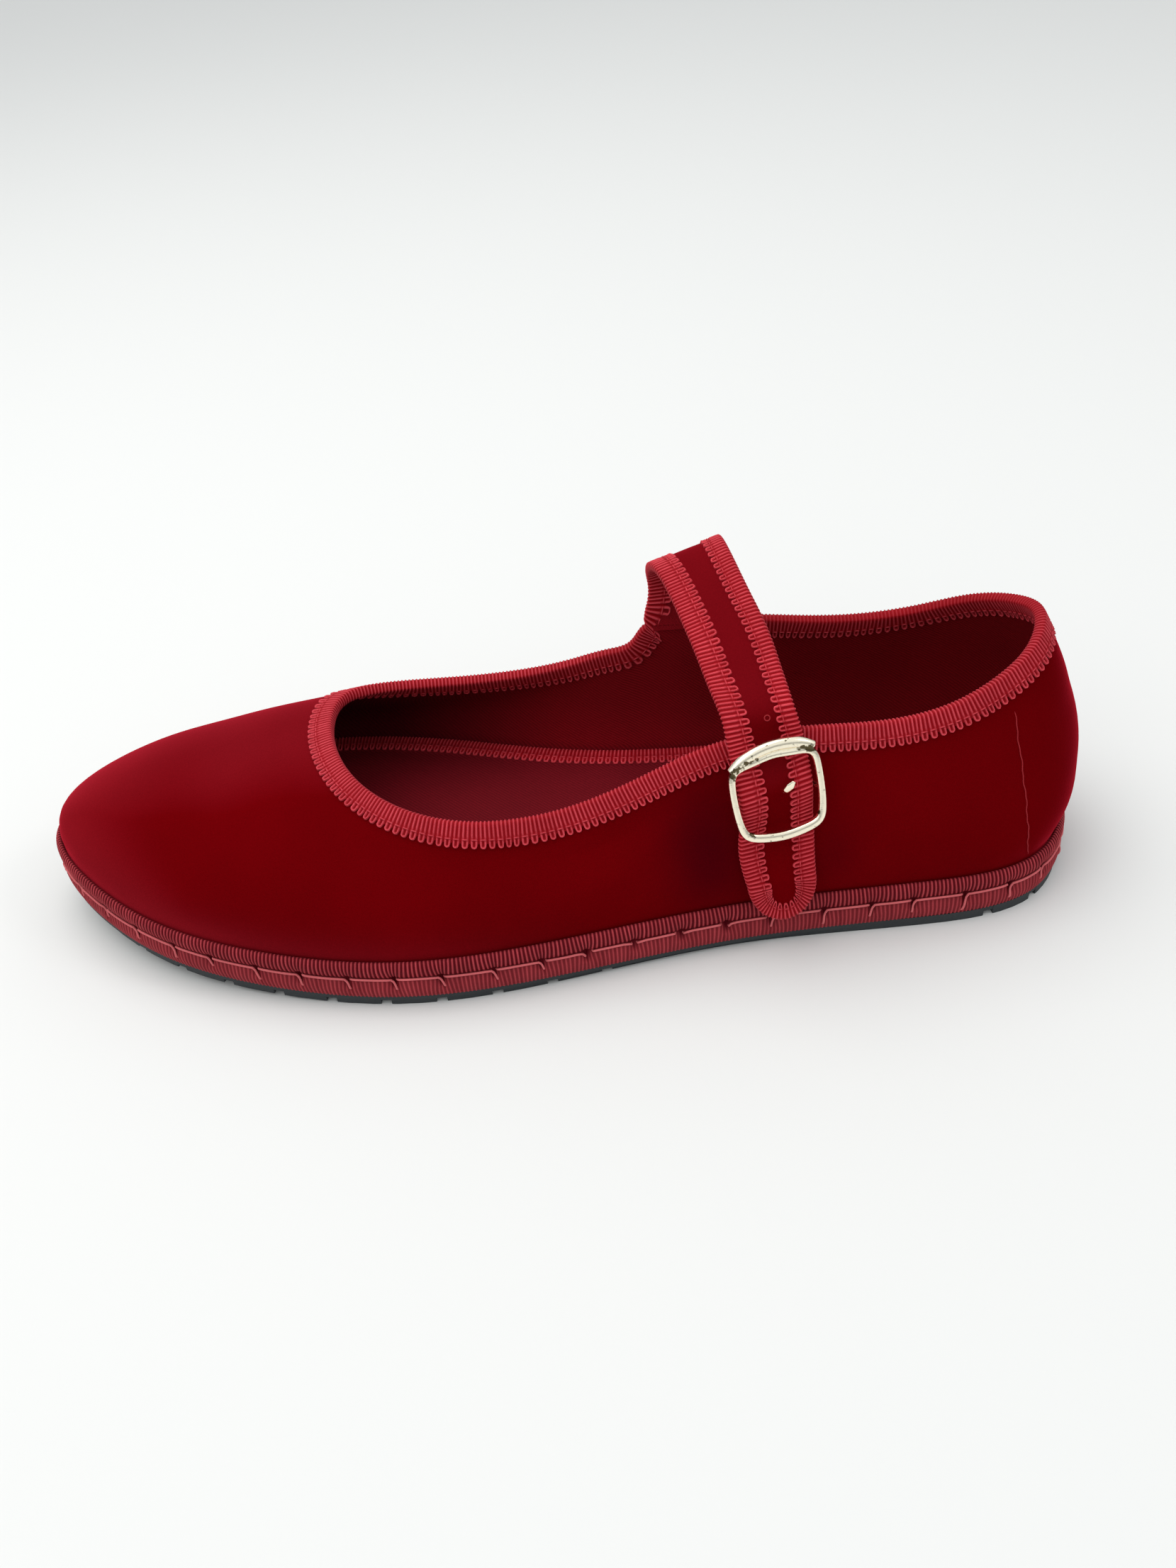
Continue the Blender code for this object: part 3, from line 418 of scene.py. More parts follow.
def hang_lines(points, step, count, reach=9):
    """Lines down the wall, square to a line of points on it: grid of points and normals."""
    run = unit(evened(np.gradient(points, axis=0), reach))
    grid, spot, sign = [points], points, None
    for _ in range(count):
        facing = np.array([TREE.find_nearest(Vector(p))[1] for p in spot]) * FACING
        down = unit(np.cross(unit(evened(facing, reach)), run))
        sign = sign or (1.0 if down[:, 2].mean() < 0.0 else -1.0)
        spot = np.array([TREE.find_nearest(Vector(p))[0] for p in spot + down * sign * step])
        spot = np.vstack([spot[:1], evened(spot, 2)[1:-1], spot[-1:]])
        grid.append(spot)
    grid = np.stack(grid, axis=1)
    normals = np.cross(np.gradient(grid, axis=1), run[:, None])
    normals *= np.sign(np.sum(normals * (grid - grid.mean(axis=(0, 1)))))
    return grid, unit(np.stack([evened(normals[:, k], reach) for k in range(count + 1)], axis=1))


print("wall faces", "outward" if FACING > 0.0 else "inward")

# %% [markdown]
# ## Sheets of cloth
#
# A grid primitive is a piece of cloth on the cutting table: even squares, with a UV map
# that already runs straight along and across it. Its corners are then laid, one by one,
# on rows of guide points. Solidify gives it the cloth's thickness and closes its edges.
# Modelling the shape directly would work too, but then the ribs and the weave would have
# no flat cloth to follow.

# %% Everyday mesh work


def take(piece):
    """Makes one object the only selected and the active one."""
    deselect()
    piece.hide_set(False)
    piece.select_set(True)
    bpy.context.view_layer.objects.active = piece


def edit_all(piece, operator, **settings):
    """Runs one edit-mode operator on the whole mesh."""
    take(piece)
    bpy.ops.object.mode_set(mode="EDIT")
    bpy.ops.mesh.select_all(action="SELECT")
    operator(**settings)
    bpy.ops.object.mode_set(mode="OBJECT")


def weld(piece, distance=0.00001):
    edit_all(piece, bpy.ops.mesh.remove_doubles, threshold=distance)


def join(parts):
    deselect()
    for part in parts:
        part.select_set(True)
    bpy.context.view_layer.objects.active = parts[0]
    bpy.ops.object.join()
    return bpy.context.object


def apply_all(piece):
    take(piece)
    for modifier in list(piece.modifiers):
        bpy.ops.object.modifier_apply(modifier=modifier.name)


def paint(piece, name, values):
    """A number at each corner of the mesh, for a material to read."""
    layer = piece.data.attributes.new(name, "FLOAT", "POINT")
    layer.data.foreach_set("value", np.asarray(values, np.float32).ravel())


def hand_over(piece, finish, degrees, slot, *nodes):
    """Dresses a piece and says what body it rides on and its finish; slot is not used."""
    piece.data.materials.clear()
    piece.data.materials.append(finish)
    take(piece)
    bpy.ops.object.shade_smooth_by_angle(angle=math.radians(degrees))
    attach(piece, "root")
    if nodes:
        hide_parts(*nodes)
    print(piece.name, "triangles", sum(len(face.vertices) - 2 for face in piece.data.polygons))


# %% Lay a flat grid on rows of points


def lay_cloth(name, points, out):
    """A flat grid laid on points[i][j]; out[i][j] says which side is its face."""
    points = np.asarray(points, float)
    long, wide = points.shape[0] - 1, points.shape[1] - 1
    deselect()
    bpy.ops.mesh.primitive_grid_add(x_subdivisions=long, y_subdivisions=wide, size=1.0)
    cloth = bpy.context.object
    cloth.name = cloth.data.name = name
    flat = corners(cloth)
    i, j = (np.rint((flat[:, k] + 0.5) * squares).astype(int) for k, squares in ((0, long), (1, wide)))
    cloth.data.vertices.foreach_set("co", to_frame(points[i, j]).ravel())
    cloth.data.update()
    face = cloth.data.polygons[(long // 2) * wide // 2]
    first = face.vertices[0]
    if np.dot(np.array(face.normal), np.asarray(out)[i[first], j[first]] * TURN) < 0.0:
        cloth.data.flip_normals()
    return cloth, i, j


def sew_sheet(name, points, out, thickness, closed=False):
    """A laid grid with its thickness in mm; a closed one meets itself at its two ends."""
    sheet, _, _ = lay_cloth(name, points, out)
    if closed:
        weld(sheet)
    sheet.modifiers.new("thickness", "SOLIDIFY").thickness = thickness * MM
    apply_all(sheet)
    return sheet


# %% Threads as thin curves


def build_threads(name, paths, radius, finish, slot):
    """One mesh from many thin round threads."""
    curve = bpy.data.curves.new(name, "CURVE")
    curve.dimensions, curve.use_fill_caps = "3D", True
    curve.bevel_depth, curve.bevel_resolution = radius * MM, 1
    for path in paths:
        spline = curve.splines.new("POLY")
        spline.points.add(len(path) - 1)
        spline.points.foreach_set("co", np.column_stack([to_frame(path), np.ones(len(path))]).ravel())
    thread = bpy.data.objects.new(name, curve)
    bpy.context.scene.collection.objects.link(thread)
    take(thread)
    bpy.ops.object.convert(target="MESH")
    thread = bpy.context.object
    edit_all(thread, bpy.ops.mesh.normals_make_consistent, inside=False)
    hand_over(thread, finish, 70.0, slot)


print("helpers for cloth and thread are ready")

# %% [markdown]
# ## Cloth finishes
#
# Velvet is a pile: it looks almost black-red head on and glows where the light grazes
# it, so it needs sheen more than gloss; light is also painted into its colour, paler where
# it faces up and forward and over the toe's lip. The tape is ribbed, and its ribs are
# modelled, and its material paints a highlight on the crests and shade in the furrows. The
# twill of the lining is far too fine to model, so it is a wave pattern that runs at a slant
# over the cloth's own UV map. Uneven dye and wear are shared by all of them in one node group.

# %% A node group for uneven dye
DYE_INPUTS = (
    ("Color", "NodeSocketColor", (0.5, 0.5, 0.5, 1.0)),
    ("Patch Size", "NodeSocketFloat", 30.0), ("Patch Strength", "NodeSocketFloat", 0.3),
    ("Grain Size", "NodeSocketFloat", 900.0), ("Grain Strength", "NodeSocketFloat", 0.2),
)


def make_dye_group():
    """A colour made brighter and darker by two noises: wide patches and a fine grain."""
    group = bpy.data.node_groups.new("uneven_dye", "ShaderNodeTree")
    for name, kind, value in DYE_INPUTS:
        group.interface.new_socket(name=name, in_out="INPUT", socket_type=kind).default_value = value
    for name, kind in (("Color", "NodeSocketColor"), ("Grain", "NodeSocketFloat")):
        group.interface.new_socket(name=name, in_out="OUTPUT", socket_type=kind)
    start, end = group.nodes.new("NodeGroupInput"), group.nodes.new("NodeGroupOutput")
    place = add_node(group, "TexCoord").outputs["Object"]
    brightness = 1.0
    for part, detail in (("Patch", 3.0), ("Grain", 2.0)):
        size, strength = start.outputs[part + " Size"], start.outputs[part + " Strength"]
        noise = add_node(group, "TexNoise", {"Vector": place, "Scale": size, "Detail": detail}).outputs["Fac"]
        centred = add_node(group, "Math", {0: noise, 1: 0.5}, operation="SUBTRACT").outputs[0]
        scaled = {0: centred, 1: strength, 2: brightness}
        brightness = add_node(group, "Math", scaled, operation="MULTIPLY_ADD").outputs[0]
    tinted = {0: start.outputs["Color"], "Scale": brightness}
    colour = add_node(group, "VectorMath", tinted, operation="SCALE").outputs[0]
    fill(group, end, {"Color": colour, "Grain": noise})
    return group


DYE = make_dye_group()
print("group", DYE.name)


# %% Parts that several materials share
# the colour of painted shade
SHADE_COLOUR = (0.012, 0.0003, 0.0035)


def add_dye(tree, colour, patch_size, patch, grain_size, grain):
    """The dyed colour and its grain."""
    dye = add_node(tree, "Group", node_tree=DYE)
    fill(tree, dye, {"Color": colour, "Patch Size": patch_size, "Patch Strength": patch,
                     "Grain Size": grain_size, "Grain Strength": grain})
    return dye.outputs["Color"], dye.outputs["Grain"]


def painted(tree, name):
    """Reads a number that was painted on the mesh."""
    return add_node(tree, "Attribute", attribute_name=name).outputs["Fac"]


def add_shade(tree, colour):
    """Painted shade: darker in the strap's painted shadow on the wall and deep in the shoe's toe."""
    return add_mix(tree, painted(tree, "shade"), colour, SHADE_COLOUR)


def dress(tree, shader, colour, height, depth, strength):
    """Gives the shader its colour and fine relief, depth in mm."""
    bump = add_node(tree, "Bump", {"Distance": depth * MM, "Strength": strength, "Height": height})
    fill(tree, shader, {"Base Color": colour, "Normal": bump.outputs["Normal"]})


# %% Velvet
VELVET_COLOUR = (0.118, 0.0004, 0.0016)
VELVET_LIT = (0.258, 0.0098, 0.0176)   # painted light: the velvet's colour where it faces the light, and over the toe's lip
# painted glow over the sole's lip: how strong it is, from and to which s it gets there, its
# height in mm, how much higher it is at the toe, and from and to which s that takes
LIP_GLOW, LIP_GLOW_FROM, LIP_GLOW_TO = 0.55, 120.0, 225.0
LIP_GLOW_HIGH, LIP_GLOW_TOE, LIP_GLOW_TOE_FROM, LIP_GLOW_TOE_TO = 6.0, 11.0, 215.0, 250.0


def velvet_material():
    finish, tree, shader = new_material("velvet", {
        "Roughness": 0.8, "Specular IOR Level": 0.0, "Sheen Weight": 0.6, "Sheen Roughness": 0.30,
        "Sheen Tint": (1.0, 0.04, 0.08)})
    deep, grain = add_dye(tree, VELVET_COLOUR, 22.0, 0.6, 2600.0, 0.35)
    lit_velvet, _ = add_dye(tree, VELVET_LIT, 22.0, 0.4, 2600.0, 0.35)
    # painted light: the paler, lit velvet colour is mixed in where the mesh carries it
    colour = add_shade(tree, add_mix(tree, painted(tree, "painted_light"), deep, lit_velvet))
    dress(tree, shader, colour, grain, 0.12, 0.5)
    return finish


def paint_velvet_light(piece, toward, low, high, most):
    """Painted light: paler where the cloth faces a given way, as if lit from there, and a painted glow over
    the toe's lip.
    """
    facing = corners(piece, "normal") @ unit(np.array(toward))
    s, _, z = shoe_corners(piece)
    reach = LIP_GLOW_HIGH + LIP_GLOW_TOE * ramp(s, LIP_GLOW_TOE_FROM, LIP_GLOW_TOE_TO)
    lip_glow = LIP_GLOW * bell((z - ground(s) - BAND_TOP, reach)) * ramp(s, LIP_GLOW_FROM, LIP_GLOW_TO)
    paint(piece, "painted_light", np.maximum(ramp(facing, low, high) * most, lip_glow))


# %% Ribbed tape, one recipe for its shades and threads


# painted light: crests take the paler colour and furrows the darker one, a painted highlight and painted
# shade over the modelled ribs
def tape_material(name, furrow, crest):
    finish, tree, shader = new_material(name, {
        "Roughness": 0.62, "Specular IOR Level": 0.06, "Sheen Weight": 0.15, "Sheen Roughness": 0.4,
        "Sheen Tint": (1.0, 0.12, 0.15)})
    low, _ = add_dye(tree, furrow, 60.0, 0.3, 3000.0, 0.3)
    high, grain = add_dye(tree, crest, 60.0, 0.35, 3000.0, 0.35)
    dress(tree, shader, add_mix(tree, painted(tree, "rib"), low, high), grain, 0.08, 0.5)
    return finish


# %% Twill lining
TWILL_PITCH = 0.8              # mm from one slanted line to the next


def lining_material(name, low, high, size):
    """size is the cloth's length and width in mm over its UV map, or None for a flat board."""
    finish, tree, shader = new_material(name, {"Roughness": 0.9, "Specular IOR Level": 0.1})
    place = add_node(tree, "TexCoord").outputs["UV" if size else "Object"]
    scale = (*size, 1.0) if size else (1.0 / MM,) * 3
    stretch = add_node(tree, "Mapping", {"Vector": place, "Scale": scale}).outputs["Vector"]
    twill = add_node(tree, "TexWave", {
        "Vector": stretch, "Scale": 2.0 * math.pi / (10.0 * TWILL_PITCH * math.sqrt(2.0)),
        "Distortion": 0.6, "Detail": 1.0, "Detail Scale": 2.0}, bands_direction="DIAGONAL").outputs["Fac"]
    dark, _ = add_dye(tree, low, 35.0, 0.4, 2500.0, 0.4)
    light, _ = add_dye(tree, high, 35.0, 0.4, 2500.0, 0.4)
    dress(tree, shader, add_shade(tree, add_mix(tree, twill, dark, light)), twill, 0.12, 0.6)
    return finish


# %% Rubber and gilt metal
# the gilt, and the dark mixed in at its spots of wear and as painted shade in its groove
GILT_COLOUR, WEAR_AND_SHADE_COLOUR = (0.99, 0.91, 0.72), (0.10, 0.08, 0.04)


def rubber_material():
    finish, tree, shader = new_material("rubber", {"Roughness": 0.72})
    colour, grain = add_dye(tree, (0.021, 0.026, 0.029), 40.0, 0.5, 1400.0, 0.4)
    dress(tree, shader, colour, grain, 0.12, 0.5)
    return finish


def gilt_material():
    """Pale polished gilt: dull spots of wear here and there, and painted shade, dark and dull, in the groove
    between crest and frame.
    """
    finish, tree, shader = new_material("gilt_metal", {"Roughness": 0.14, "Metallic": 1.0})
    place = add_node(tree, "TexCoord").outputs["Object"]
    spots = add_node(tree, "TexNoise", {"Vector": place, "Scale": 800.0, "Detail": 4.0}).outputs["Fac"]
    # painted shade in the groove, added to the spots of wear
    added = {0: painted(tree, "groove_shade"), 1: 0.42, 2: spots}
    wear_and_shade = add_node(tree, "Math", added, operation="MULTIPLY_ADD").outputs[0]
    dark_share = add_node(tree, "MapRange", {"Value": wear_and_shade, "From Min": 0.63, "From Max": 0.72})
    rough = add_node(tree, "MapRange", {"Value": wear_and_shade, "To Min": 0.06, "To Max": 0.34})
    colour = add_mix(tree, dark_share.outputs["Result"], GILT_COLOUR, WEAR_AND_SHADE_COLOUR)
    fill(tree, shader, {"Roughness": rough.outputs["Result"]})
    dress(tree, shader, colour, spots, 0.04, 0.2)
    return finish


# %% Every finish of the shoe
VELVET, RUBBER, GILT = velvet_material(), rubber_material(), gilt_material()
TAPE_CLOTH = tape_material("grosgrain_tape", (0.235, 0.0008, 0.0045), (0.70, 0.080, 0.105))
# painted light: the same grosgrain as the topline's, painted paler for the strap and for the insole's border
STRAP_CLOTH = tape_material("strap_grosgrain", (0.25, 0.0008, 0.0045), (0.80, 0.084, 0.110))
EDGE_CLOTH = tape_material("sole_edge_tape", (0.085, 0.0010, 0.005), (0.57, 0.074, 0.088))
THREAD = tape_material("sewing_thread", (0.60, 0.13, 0.14), (0.78, 0.26, 0.27))
SEAM_THREAD = tape_material("seam_thread", (0.30, 0.020, 0.026), (0.46, 0.050, 0.056))
LINING_SPAN = (along(WALL_GRID[:, 20])[-1], 50.0)
# painted light: the wall's and the strap's lining twill is paler than the same twill on the board, making up
# for the shade inside the shoe
WALL_TWILL = lining_material(
    "wall_lining", (0.165, 0.0018, 0.0050), (0.235, 0.0034, 0.0085), LINING_SPAN)
BOARD_TWILL = lining_material("insole_twill", (0.105, 0.0020, 0.0055), (0.155, 0.0038, 0.0090), None)
print("materials", len(bpy.data.materials))

# %% [markdown]
# ## Upper: velvet outside, twill inside
#
# On the real shoe the velvet, a stiffening cloth and the lining are glued into one wall
# and pulled over a last. The wall has few folds: it is soft and full, dips a little along
# its seams, and gathers where it turns in under the sole's lip. These are shallow troughs
# with soft shoulders, each one a short line on the wall with a width and a depth.

# %% Troughs and ridges in the wall
# from and to (s, y side, z), half width, depth; positive depth sinks in. In turn: the side
# seams, heel, waist and its shoulder, bends of the vamp, toe, pull of the quarter, its ridge
CREASES = (
    ((19.5, -1, 52), (14.5, -1, 14), 1.6, 0.35), ((19.5, 1, 52), (14.5, 1, 14), 1.6, 0.35),
    ((3, -1, 44), (-1, -1, 30), 7, 0.9), ((88, -1, 34), (112, -1, 24), 9, 0.8),
    ((70, -1, 26), (60, -1, 19), 6, -0.35), ((176, -1, 28), (150, -1, 18), 8, 0.6),
    ((176, 1, 28), (150, 1, 18), 8, 0.6), ((214, -1, 33), (214, 1, 33), 12, 0.5),
    ((104, -1, 41), (122, -1, 30), 5, 0.45), ((98, -1, 36), (116, -1, 25), 5, -0.35),
)
# depth of the small gathers over the lip, from one to the next, and how high they reach
GATHERS, GATHER_PITCH, GATHER_HIGH = 0.22, 9.0, 5.0
OTHER_SIDE = 99.0              # mm, too far for a trough to reach


def crease_depth(grid):
    """How far each point of the wall sinks in, in mm."""
    depth = np.zeros(grid.shape[:2])
    for start, end, width, deep in CREASES:
        a, b = np.array(start, float), np.array(end, float)
        run, offset = (b - a)[[0, 2]], grid[..., [0, 2]] - a[[0, 2]]
        share = np.clip(offset @ run / max(run @ run, 1e-6), 0.0, 1.0)
        away = np.linalg.norm(offset - share[..., None] * run, axis=-1)
        away = np.where(np.sign(grid[..., 1] - 2.0) == a[1], away, OTHER_SIDE)
        if a[1] != b[1]:
            away = np.abs(offset[..., 0])
        depth += deep * bell((away, width))
    height = grid[..., 2] - grid[:, :1, 2]
    place = along(grid[:, 1, :2])[:, None]
    wave = 0.5 + 0.5 * np.sin(place * 2 * math.pi / GATHER_PITCH + 1.7 * np.sin(place / 31.0))
    return depth + GATHERS * wave * bell((height, GATHER_HIGH))


def free_of_trim(grid):
    """1 where nothing is sewn over the wall, 0 under the tape and inside the sole's lip."""
    below = np.linalg.norm(grid - grid[:, -1:], axis=-1)
    above = grid[..., 2] - grid[:, :1, 2]
    return ramp(below, 7.5, 11.5) * ramp(above, 2.2, 5.2)


WALL_OUT[0] = WALL_OUT[-1] = unit(WALL_OUT[0] + WALL_OUT[-1])
SINK = (crease_depth(WALL_GRID) * free_of_trim(WALL_GRID))[..., None]
SINK[0] = SINK[-1]
print("deepest trough, mm", round(float(SINK.max()), 2))

# %% Velvet and lining
VELVET_THICK = 0.85
LINING_CLEAR = 0.15            # the lining keeps this far behind dented velvet
# painted shadow of the strap and buckle on the wall: middle s and z, half width, half height, share
STRAP_SHADOW = ((91.0, 29.0, 10.0, 15.0, 0.55), (62.0, 25.0, 6.0, 9.0, 0.25))
TOE_SHADE = 0.65


# painted shadow: the outer wall darker beside and below the strap, mostly on its toe side
def paint_strap_shadow(velvet):
    s, y, z = shoe_corners(velvet)
    shade = 0.0 * s
    for mid_s, mid_z, wide, high, share in STRAP_SHADOW:
        shade += share * bell((s - mid_s, wide), (z - mid_z, high)) * (y < 0.0)
    paint(velvet, "shade", shade)


def shade_toe(lining):
    """Painted shade: the lining darker ahead of the opening, deep in the toe where little light reaches."""
    paint(lining, "shade", TOE_SHADE * ramp(shoe_corners(lining)[0], 125.0, 170.0))


def build_upper():
    dented = WALL_GRID - WALL_OUT * SINK
    velvet = sew_sheet("upper_velvet", dented, WALL_OUT, VELVET_THICK, closed=True)
    # painted light: paler where the velvet faces up, forward and inward, and a painted glow over the toe's
    # lip
    paint_velvet_light(velvet, (-0.62, 0.38, 0.68), 0.64, 0.97, 1.0)
    paint_strap_shadow(velvet)
    hand_over(velvet, VELVET, 50.0, "velvet", "upper")
    inside = WALL_GRID - WALL_OUT * np.maximum(WALL - 0.01, SINK + VELVET_THICK + LINING_CLEAR)
    inside[:, 0, 2] = WALL_GRID[:, 0, 2]
    thick = WALL - VELVET_THICK - 0.1
    lining = sew_sheet("upper_lining", inside[::3, ::2], -WALL_OUT[::3, ::2], thick, closed=True)
    shade_toe(lining)
    hand_over(lining, WALL_TWILL, 50.0, "lining")


build_upper()

# %% Side seams
# from under the tape to the sole's lip: s and z at either end
SEAM_TOP, SEAM_FOOT = (19.7, 55.5), (14.5, 13.6)
SEAM_RADIUS, SEAM_SUNK = 0.14, 0.24
SEAM_WAVES = ((0.14, 31.0), (0.08, 83.0))      # how far it strays, and how quickly


def side_seams():
    """One thread down each side of the heel, not quite straight."""
    paths = []
    for side in (-1.0, 1.0):
        path = []
        for share in np.linspace(0.0, 1.0, 70):
            s, z = (a + (b - a) * share for a, b in zip(SEAM_TOP, SEAM_FOOT))
            s += sum(size * math.sin(turns * share) for size, turns in SEAM_WAVES)
            hit, normal = outer_wall(s, z, side)
            path.append(hit - normal * SEAM_SUNK)
        paths.append(path)
    return paths


build_threads("side_seams", side_seams(), SEAM_RADIUS, SEAM_THREAD, "velvet")

# %% [markdown]
# ## Ribbed tape
#
# The binding is a grosgrain tape: stiff cross ribs about a millimetre apart. Along its
# woven edge each pair of ribs closes into a little loop, and a line of machine stitches
# presses the tape down just before the loops. A bump texture would fake the ribs from
# far off, but the loops cut the edge of the tape, so ribs and loops are real relief here:
# five grid steps to each rib, each lifted or lowered, and the edge drawn in between loops.

# %% Relief of one strip of ribs
RIB = 0.95                     # mm from rib to rib
STEPS = 5                      # grid steps to each rib
RIB_HEIGHT = 0.34
RIB_CREST, RIB_FADE = 0.02, 0.27
STITCH_SHARE = 0.62            # the machine stitches run at this share of the width
SLOT_FROM = STITCH_SHARE + 0.05        # from here out there are slots between the loops' legs
LOOP_OUT = 0.70                # a loop's half width, mm
GAP_BACK = 0.55                # the tape is drawn back this far between two loops, mm
SLOT_DEEP, EDGE_DROP = 0.20, 0.24
CLOTH_LOW = 0.46               # furrows stand this far over the cloth below


def crest_mask(away):
    """1 on a rib's crest, 0 in the furrow, at a distance in mm from its middle."""
    return ramp(away, RIB_CREST + RIB_FADE, RIB_CREST)


def loop_edge(steps, width):
    """Share of the width at which the strip ends, and where its loops turn round."""
    across = np.abs((steps / (2.0 * STEPS)) % 1.0 - 0.5) * 2.0 * RIB
    turn = 1.0 - LOOP_OUT / width
    round_end = turn + np.sqrt(np.clip(LOOP_OUT ** 2 - across ** 2, 0.0, None)) / width
    return across, turn, np.where(across < LOOP_OUT, round_end, turn - GAP_BACK / width)


def rib_relief(steps, share, width):
    """Drawn-in shares of a strip and its rib mask (1 on a crest) at steps along it."""
    share = np.asarray(share)[None, :]
    across, turn, end = (np.broadcast_to(part, steps.shape)[:, None] for part in loop_edge(steps, width))
    width = np.broadcast_to(width, steps.shape)[:, None]
    past = np.clip(share - STITCH_SHARE, 0.0, None) * (end - STITCH_SHARE) / (1.0 - STITCH_SHARE)
    drawn = np.minimum(share, STITCH_SHARE) + past
    beyond = np.clip(drawn - turn, 0.0, None) * width
    mask = crest_mask(np.abs(np.hypot(across, beyond) - RIB / 2))
    near = np.abs(drawn - STITCH_SHARE)
    mask = mask * (1.0 - 0.65 * bell((near - 0.04, 0.018)))
    stitch = 0.8 * bell((near, 0.012)) * (across < LOOP_OUT)
    return drawn, np.maximum(mask, stitch)


def rib_lift(share, drawn, mask):
    """Height over the cloth: ribs up, slots between the loops' legs down, the edge closed."""
    slot = SLOT_DEEP * (1.0 - mask) * (drawn > SLOT_FROM)
    return CLOTH_LOW + RIB_HEIGHT * mask - slot - np.where(share == 1.0, EDGE_DROP, 0.0)


print("ribs to a decimetre", round(100.0 / RIB))

# %% Hand-fed tape is never quite even
LEAN_SPREAD = 0.28             # mm, how unevenly the ribs lean


def uneven(steps, seed):
    """A paler or darker rib here and there: one number for each rib."""
    tones = np.random.default_rng(seed).uniform(0.72, 1.0, int(steps[-1] // STEPS) + 2)
    return tones[(steps // STEPS).astype(int)]


def leaning(steps, seed):
    """How far the ribs lean along the tape, in mm."""
    knots = np.arange(0, steps[-1] + 6 * STEPS, 5 * STEPS)
    return np.interp(steps, knots, np.random.default_rng(seed).normal(0.0, LEAN_SPREAD, len(knots)))


def even_steps(points, pitch=RIB):
    """Lengths along a line at which whole pairs of ribs fit it, and their step numbers."""
    length = along(points)[-1]
    count = max(2, int(round(length / (2.0 * pitch)))) * 2 * STEPS
    return np.linspace(0.0, length, count + 1), np.arange(count + 1)


# %% Sections closed into a tube, and a tape folded over an edge
# shares of each leg's width, edge to fold, at which the tape has a row of corners
LEG = np.array((1.0, 0.97, 0.93, 0.88, 0.80, 0.72, 0.66, 0.62, 0.58, 0.45, 0.28, 0.10))
UNDER = (0.08, 0.45, 0.80)     # and those of its flat underside
FOLD = tuple(math.radians(a) for a in (20.0, 50.0, 80.0, 100.0, 130.0, 160.0))


def close_tube(name, section, closed=False):
    """Wraps rows of (points, face directions, rib marks) into a tube and fills its open ends."""
    loops, out, masks = (np.stack([*rows, rows[0]], axis=1) for rows in zip(*section))
    tube, i, j = lay_cloth(name, loops, out)
    paint(tube, "rib", masks[i, j])
    weld(tube)
    if not closed:
        edit_all(tube, bpy.ops.mesh.fill_holes, sides=0)
    edit_all(tube, bpy.ops.mesh.normals_make_consistent, inside=False)
    return tube


def folded_tape(name, steps, legs, centre, side, up, half, high, seed, pale=0.75):
    """A tape folded over an edge.

    Each of the two legs is (points at shares, direction away from the cloth, width in mm);
    centre, side, up, half and high shape the fold's arc, and pale is how strong the painted highlight on its
    ribs is.
    """
    lean = unit(np.gradient(centre, axis=0)) * leaning(steps, seed)[:, None]
    tops, unders, arc = [], [], []
    for base, away, width in legs:
        drawn, mask = rib_relief(steps, LEG, width)
        lift, mark = rib_lift(LEG[None, :], drawn, mask), mask * uneven(steps, seed)[:, None]
        top = []
        for k in range(len(LEG)):
            head = away(drawn[:, k])
            spot = base(drawn[:, k]) + head * lift[:, k:k + 1] + lean * drawn[:, k:k + 1]
            top.append((spot, head, mark[:, k]))
        tops.append(top)
        flats = [np.full(len(steps), share) for share in UNDER]
        unders.append([(base(flat) + away(flat) * 0.04, -away(flat), 0.0 * flat) for flat in flats])
    crest = rib_relief(steps, (0.3,), 5.0)[1][:, 0]
    for angle in FOLD:
        head = unit(side * math.cos(angle) + up * math.sin(angle))
        spot = centre + side * (half * math.cos(angle)) + up * (high * math.sin(angle))
        arc.append((spot + head * (RIB_HEIGHT * (crest - 0.5))[:, None], head, pale * crest))
    return close_tube(name, tops[0] + arc + tops[1][::-1] + unders[1][::-1] + unders[0])


# %% Tape over the topline
TAPE_OUT, TAPE_IN = 5.7, 5.6
TAPE_STEP = 0.6                # mm between the guide points down the wall
ROOT_ROWS = (23, 25)           # the strap grows from the topline between these rows
TAPE_PALE, TAPE_FAR_SHADE = 0.75, 0.45    # painted highlight on the fold's ribs, and how much painted shade dims it on the far side


def topline_guide():
    """Lengths and step numbers round the topline, and lines down the wall from it."""
    start = WALL_KNOTS[ROOT_ROWS[1]] + 0.2
    end = WALL_KNOTS[-1] + WALL_KNOTS[ROOT_ROWS[0]] + 0.6
    fine = np.linspace(start, end, 4001)
    topline = cubic(WALL_KNOTS, TABLE[:, 1:4], fine % WALL_KNOTS[-1], closed=True)
    lengths, steps = even_steps(topline)
    return lengths, steps, *hang_lines(at_length(topline, lengths), TAPE_STEP, 12)


TOPLINE = topline_guide()


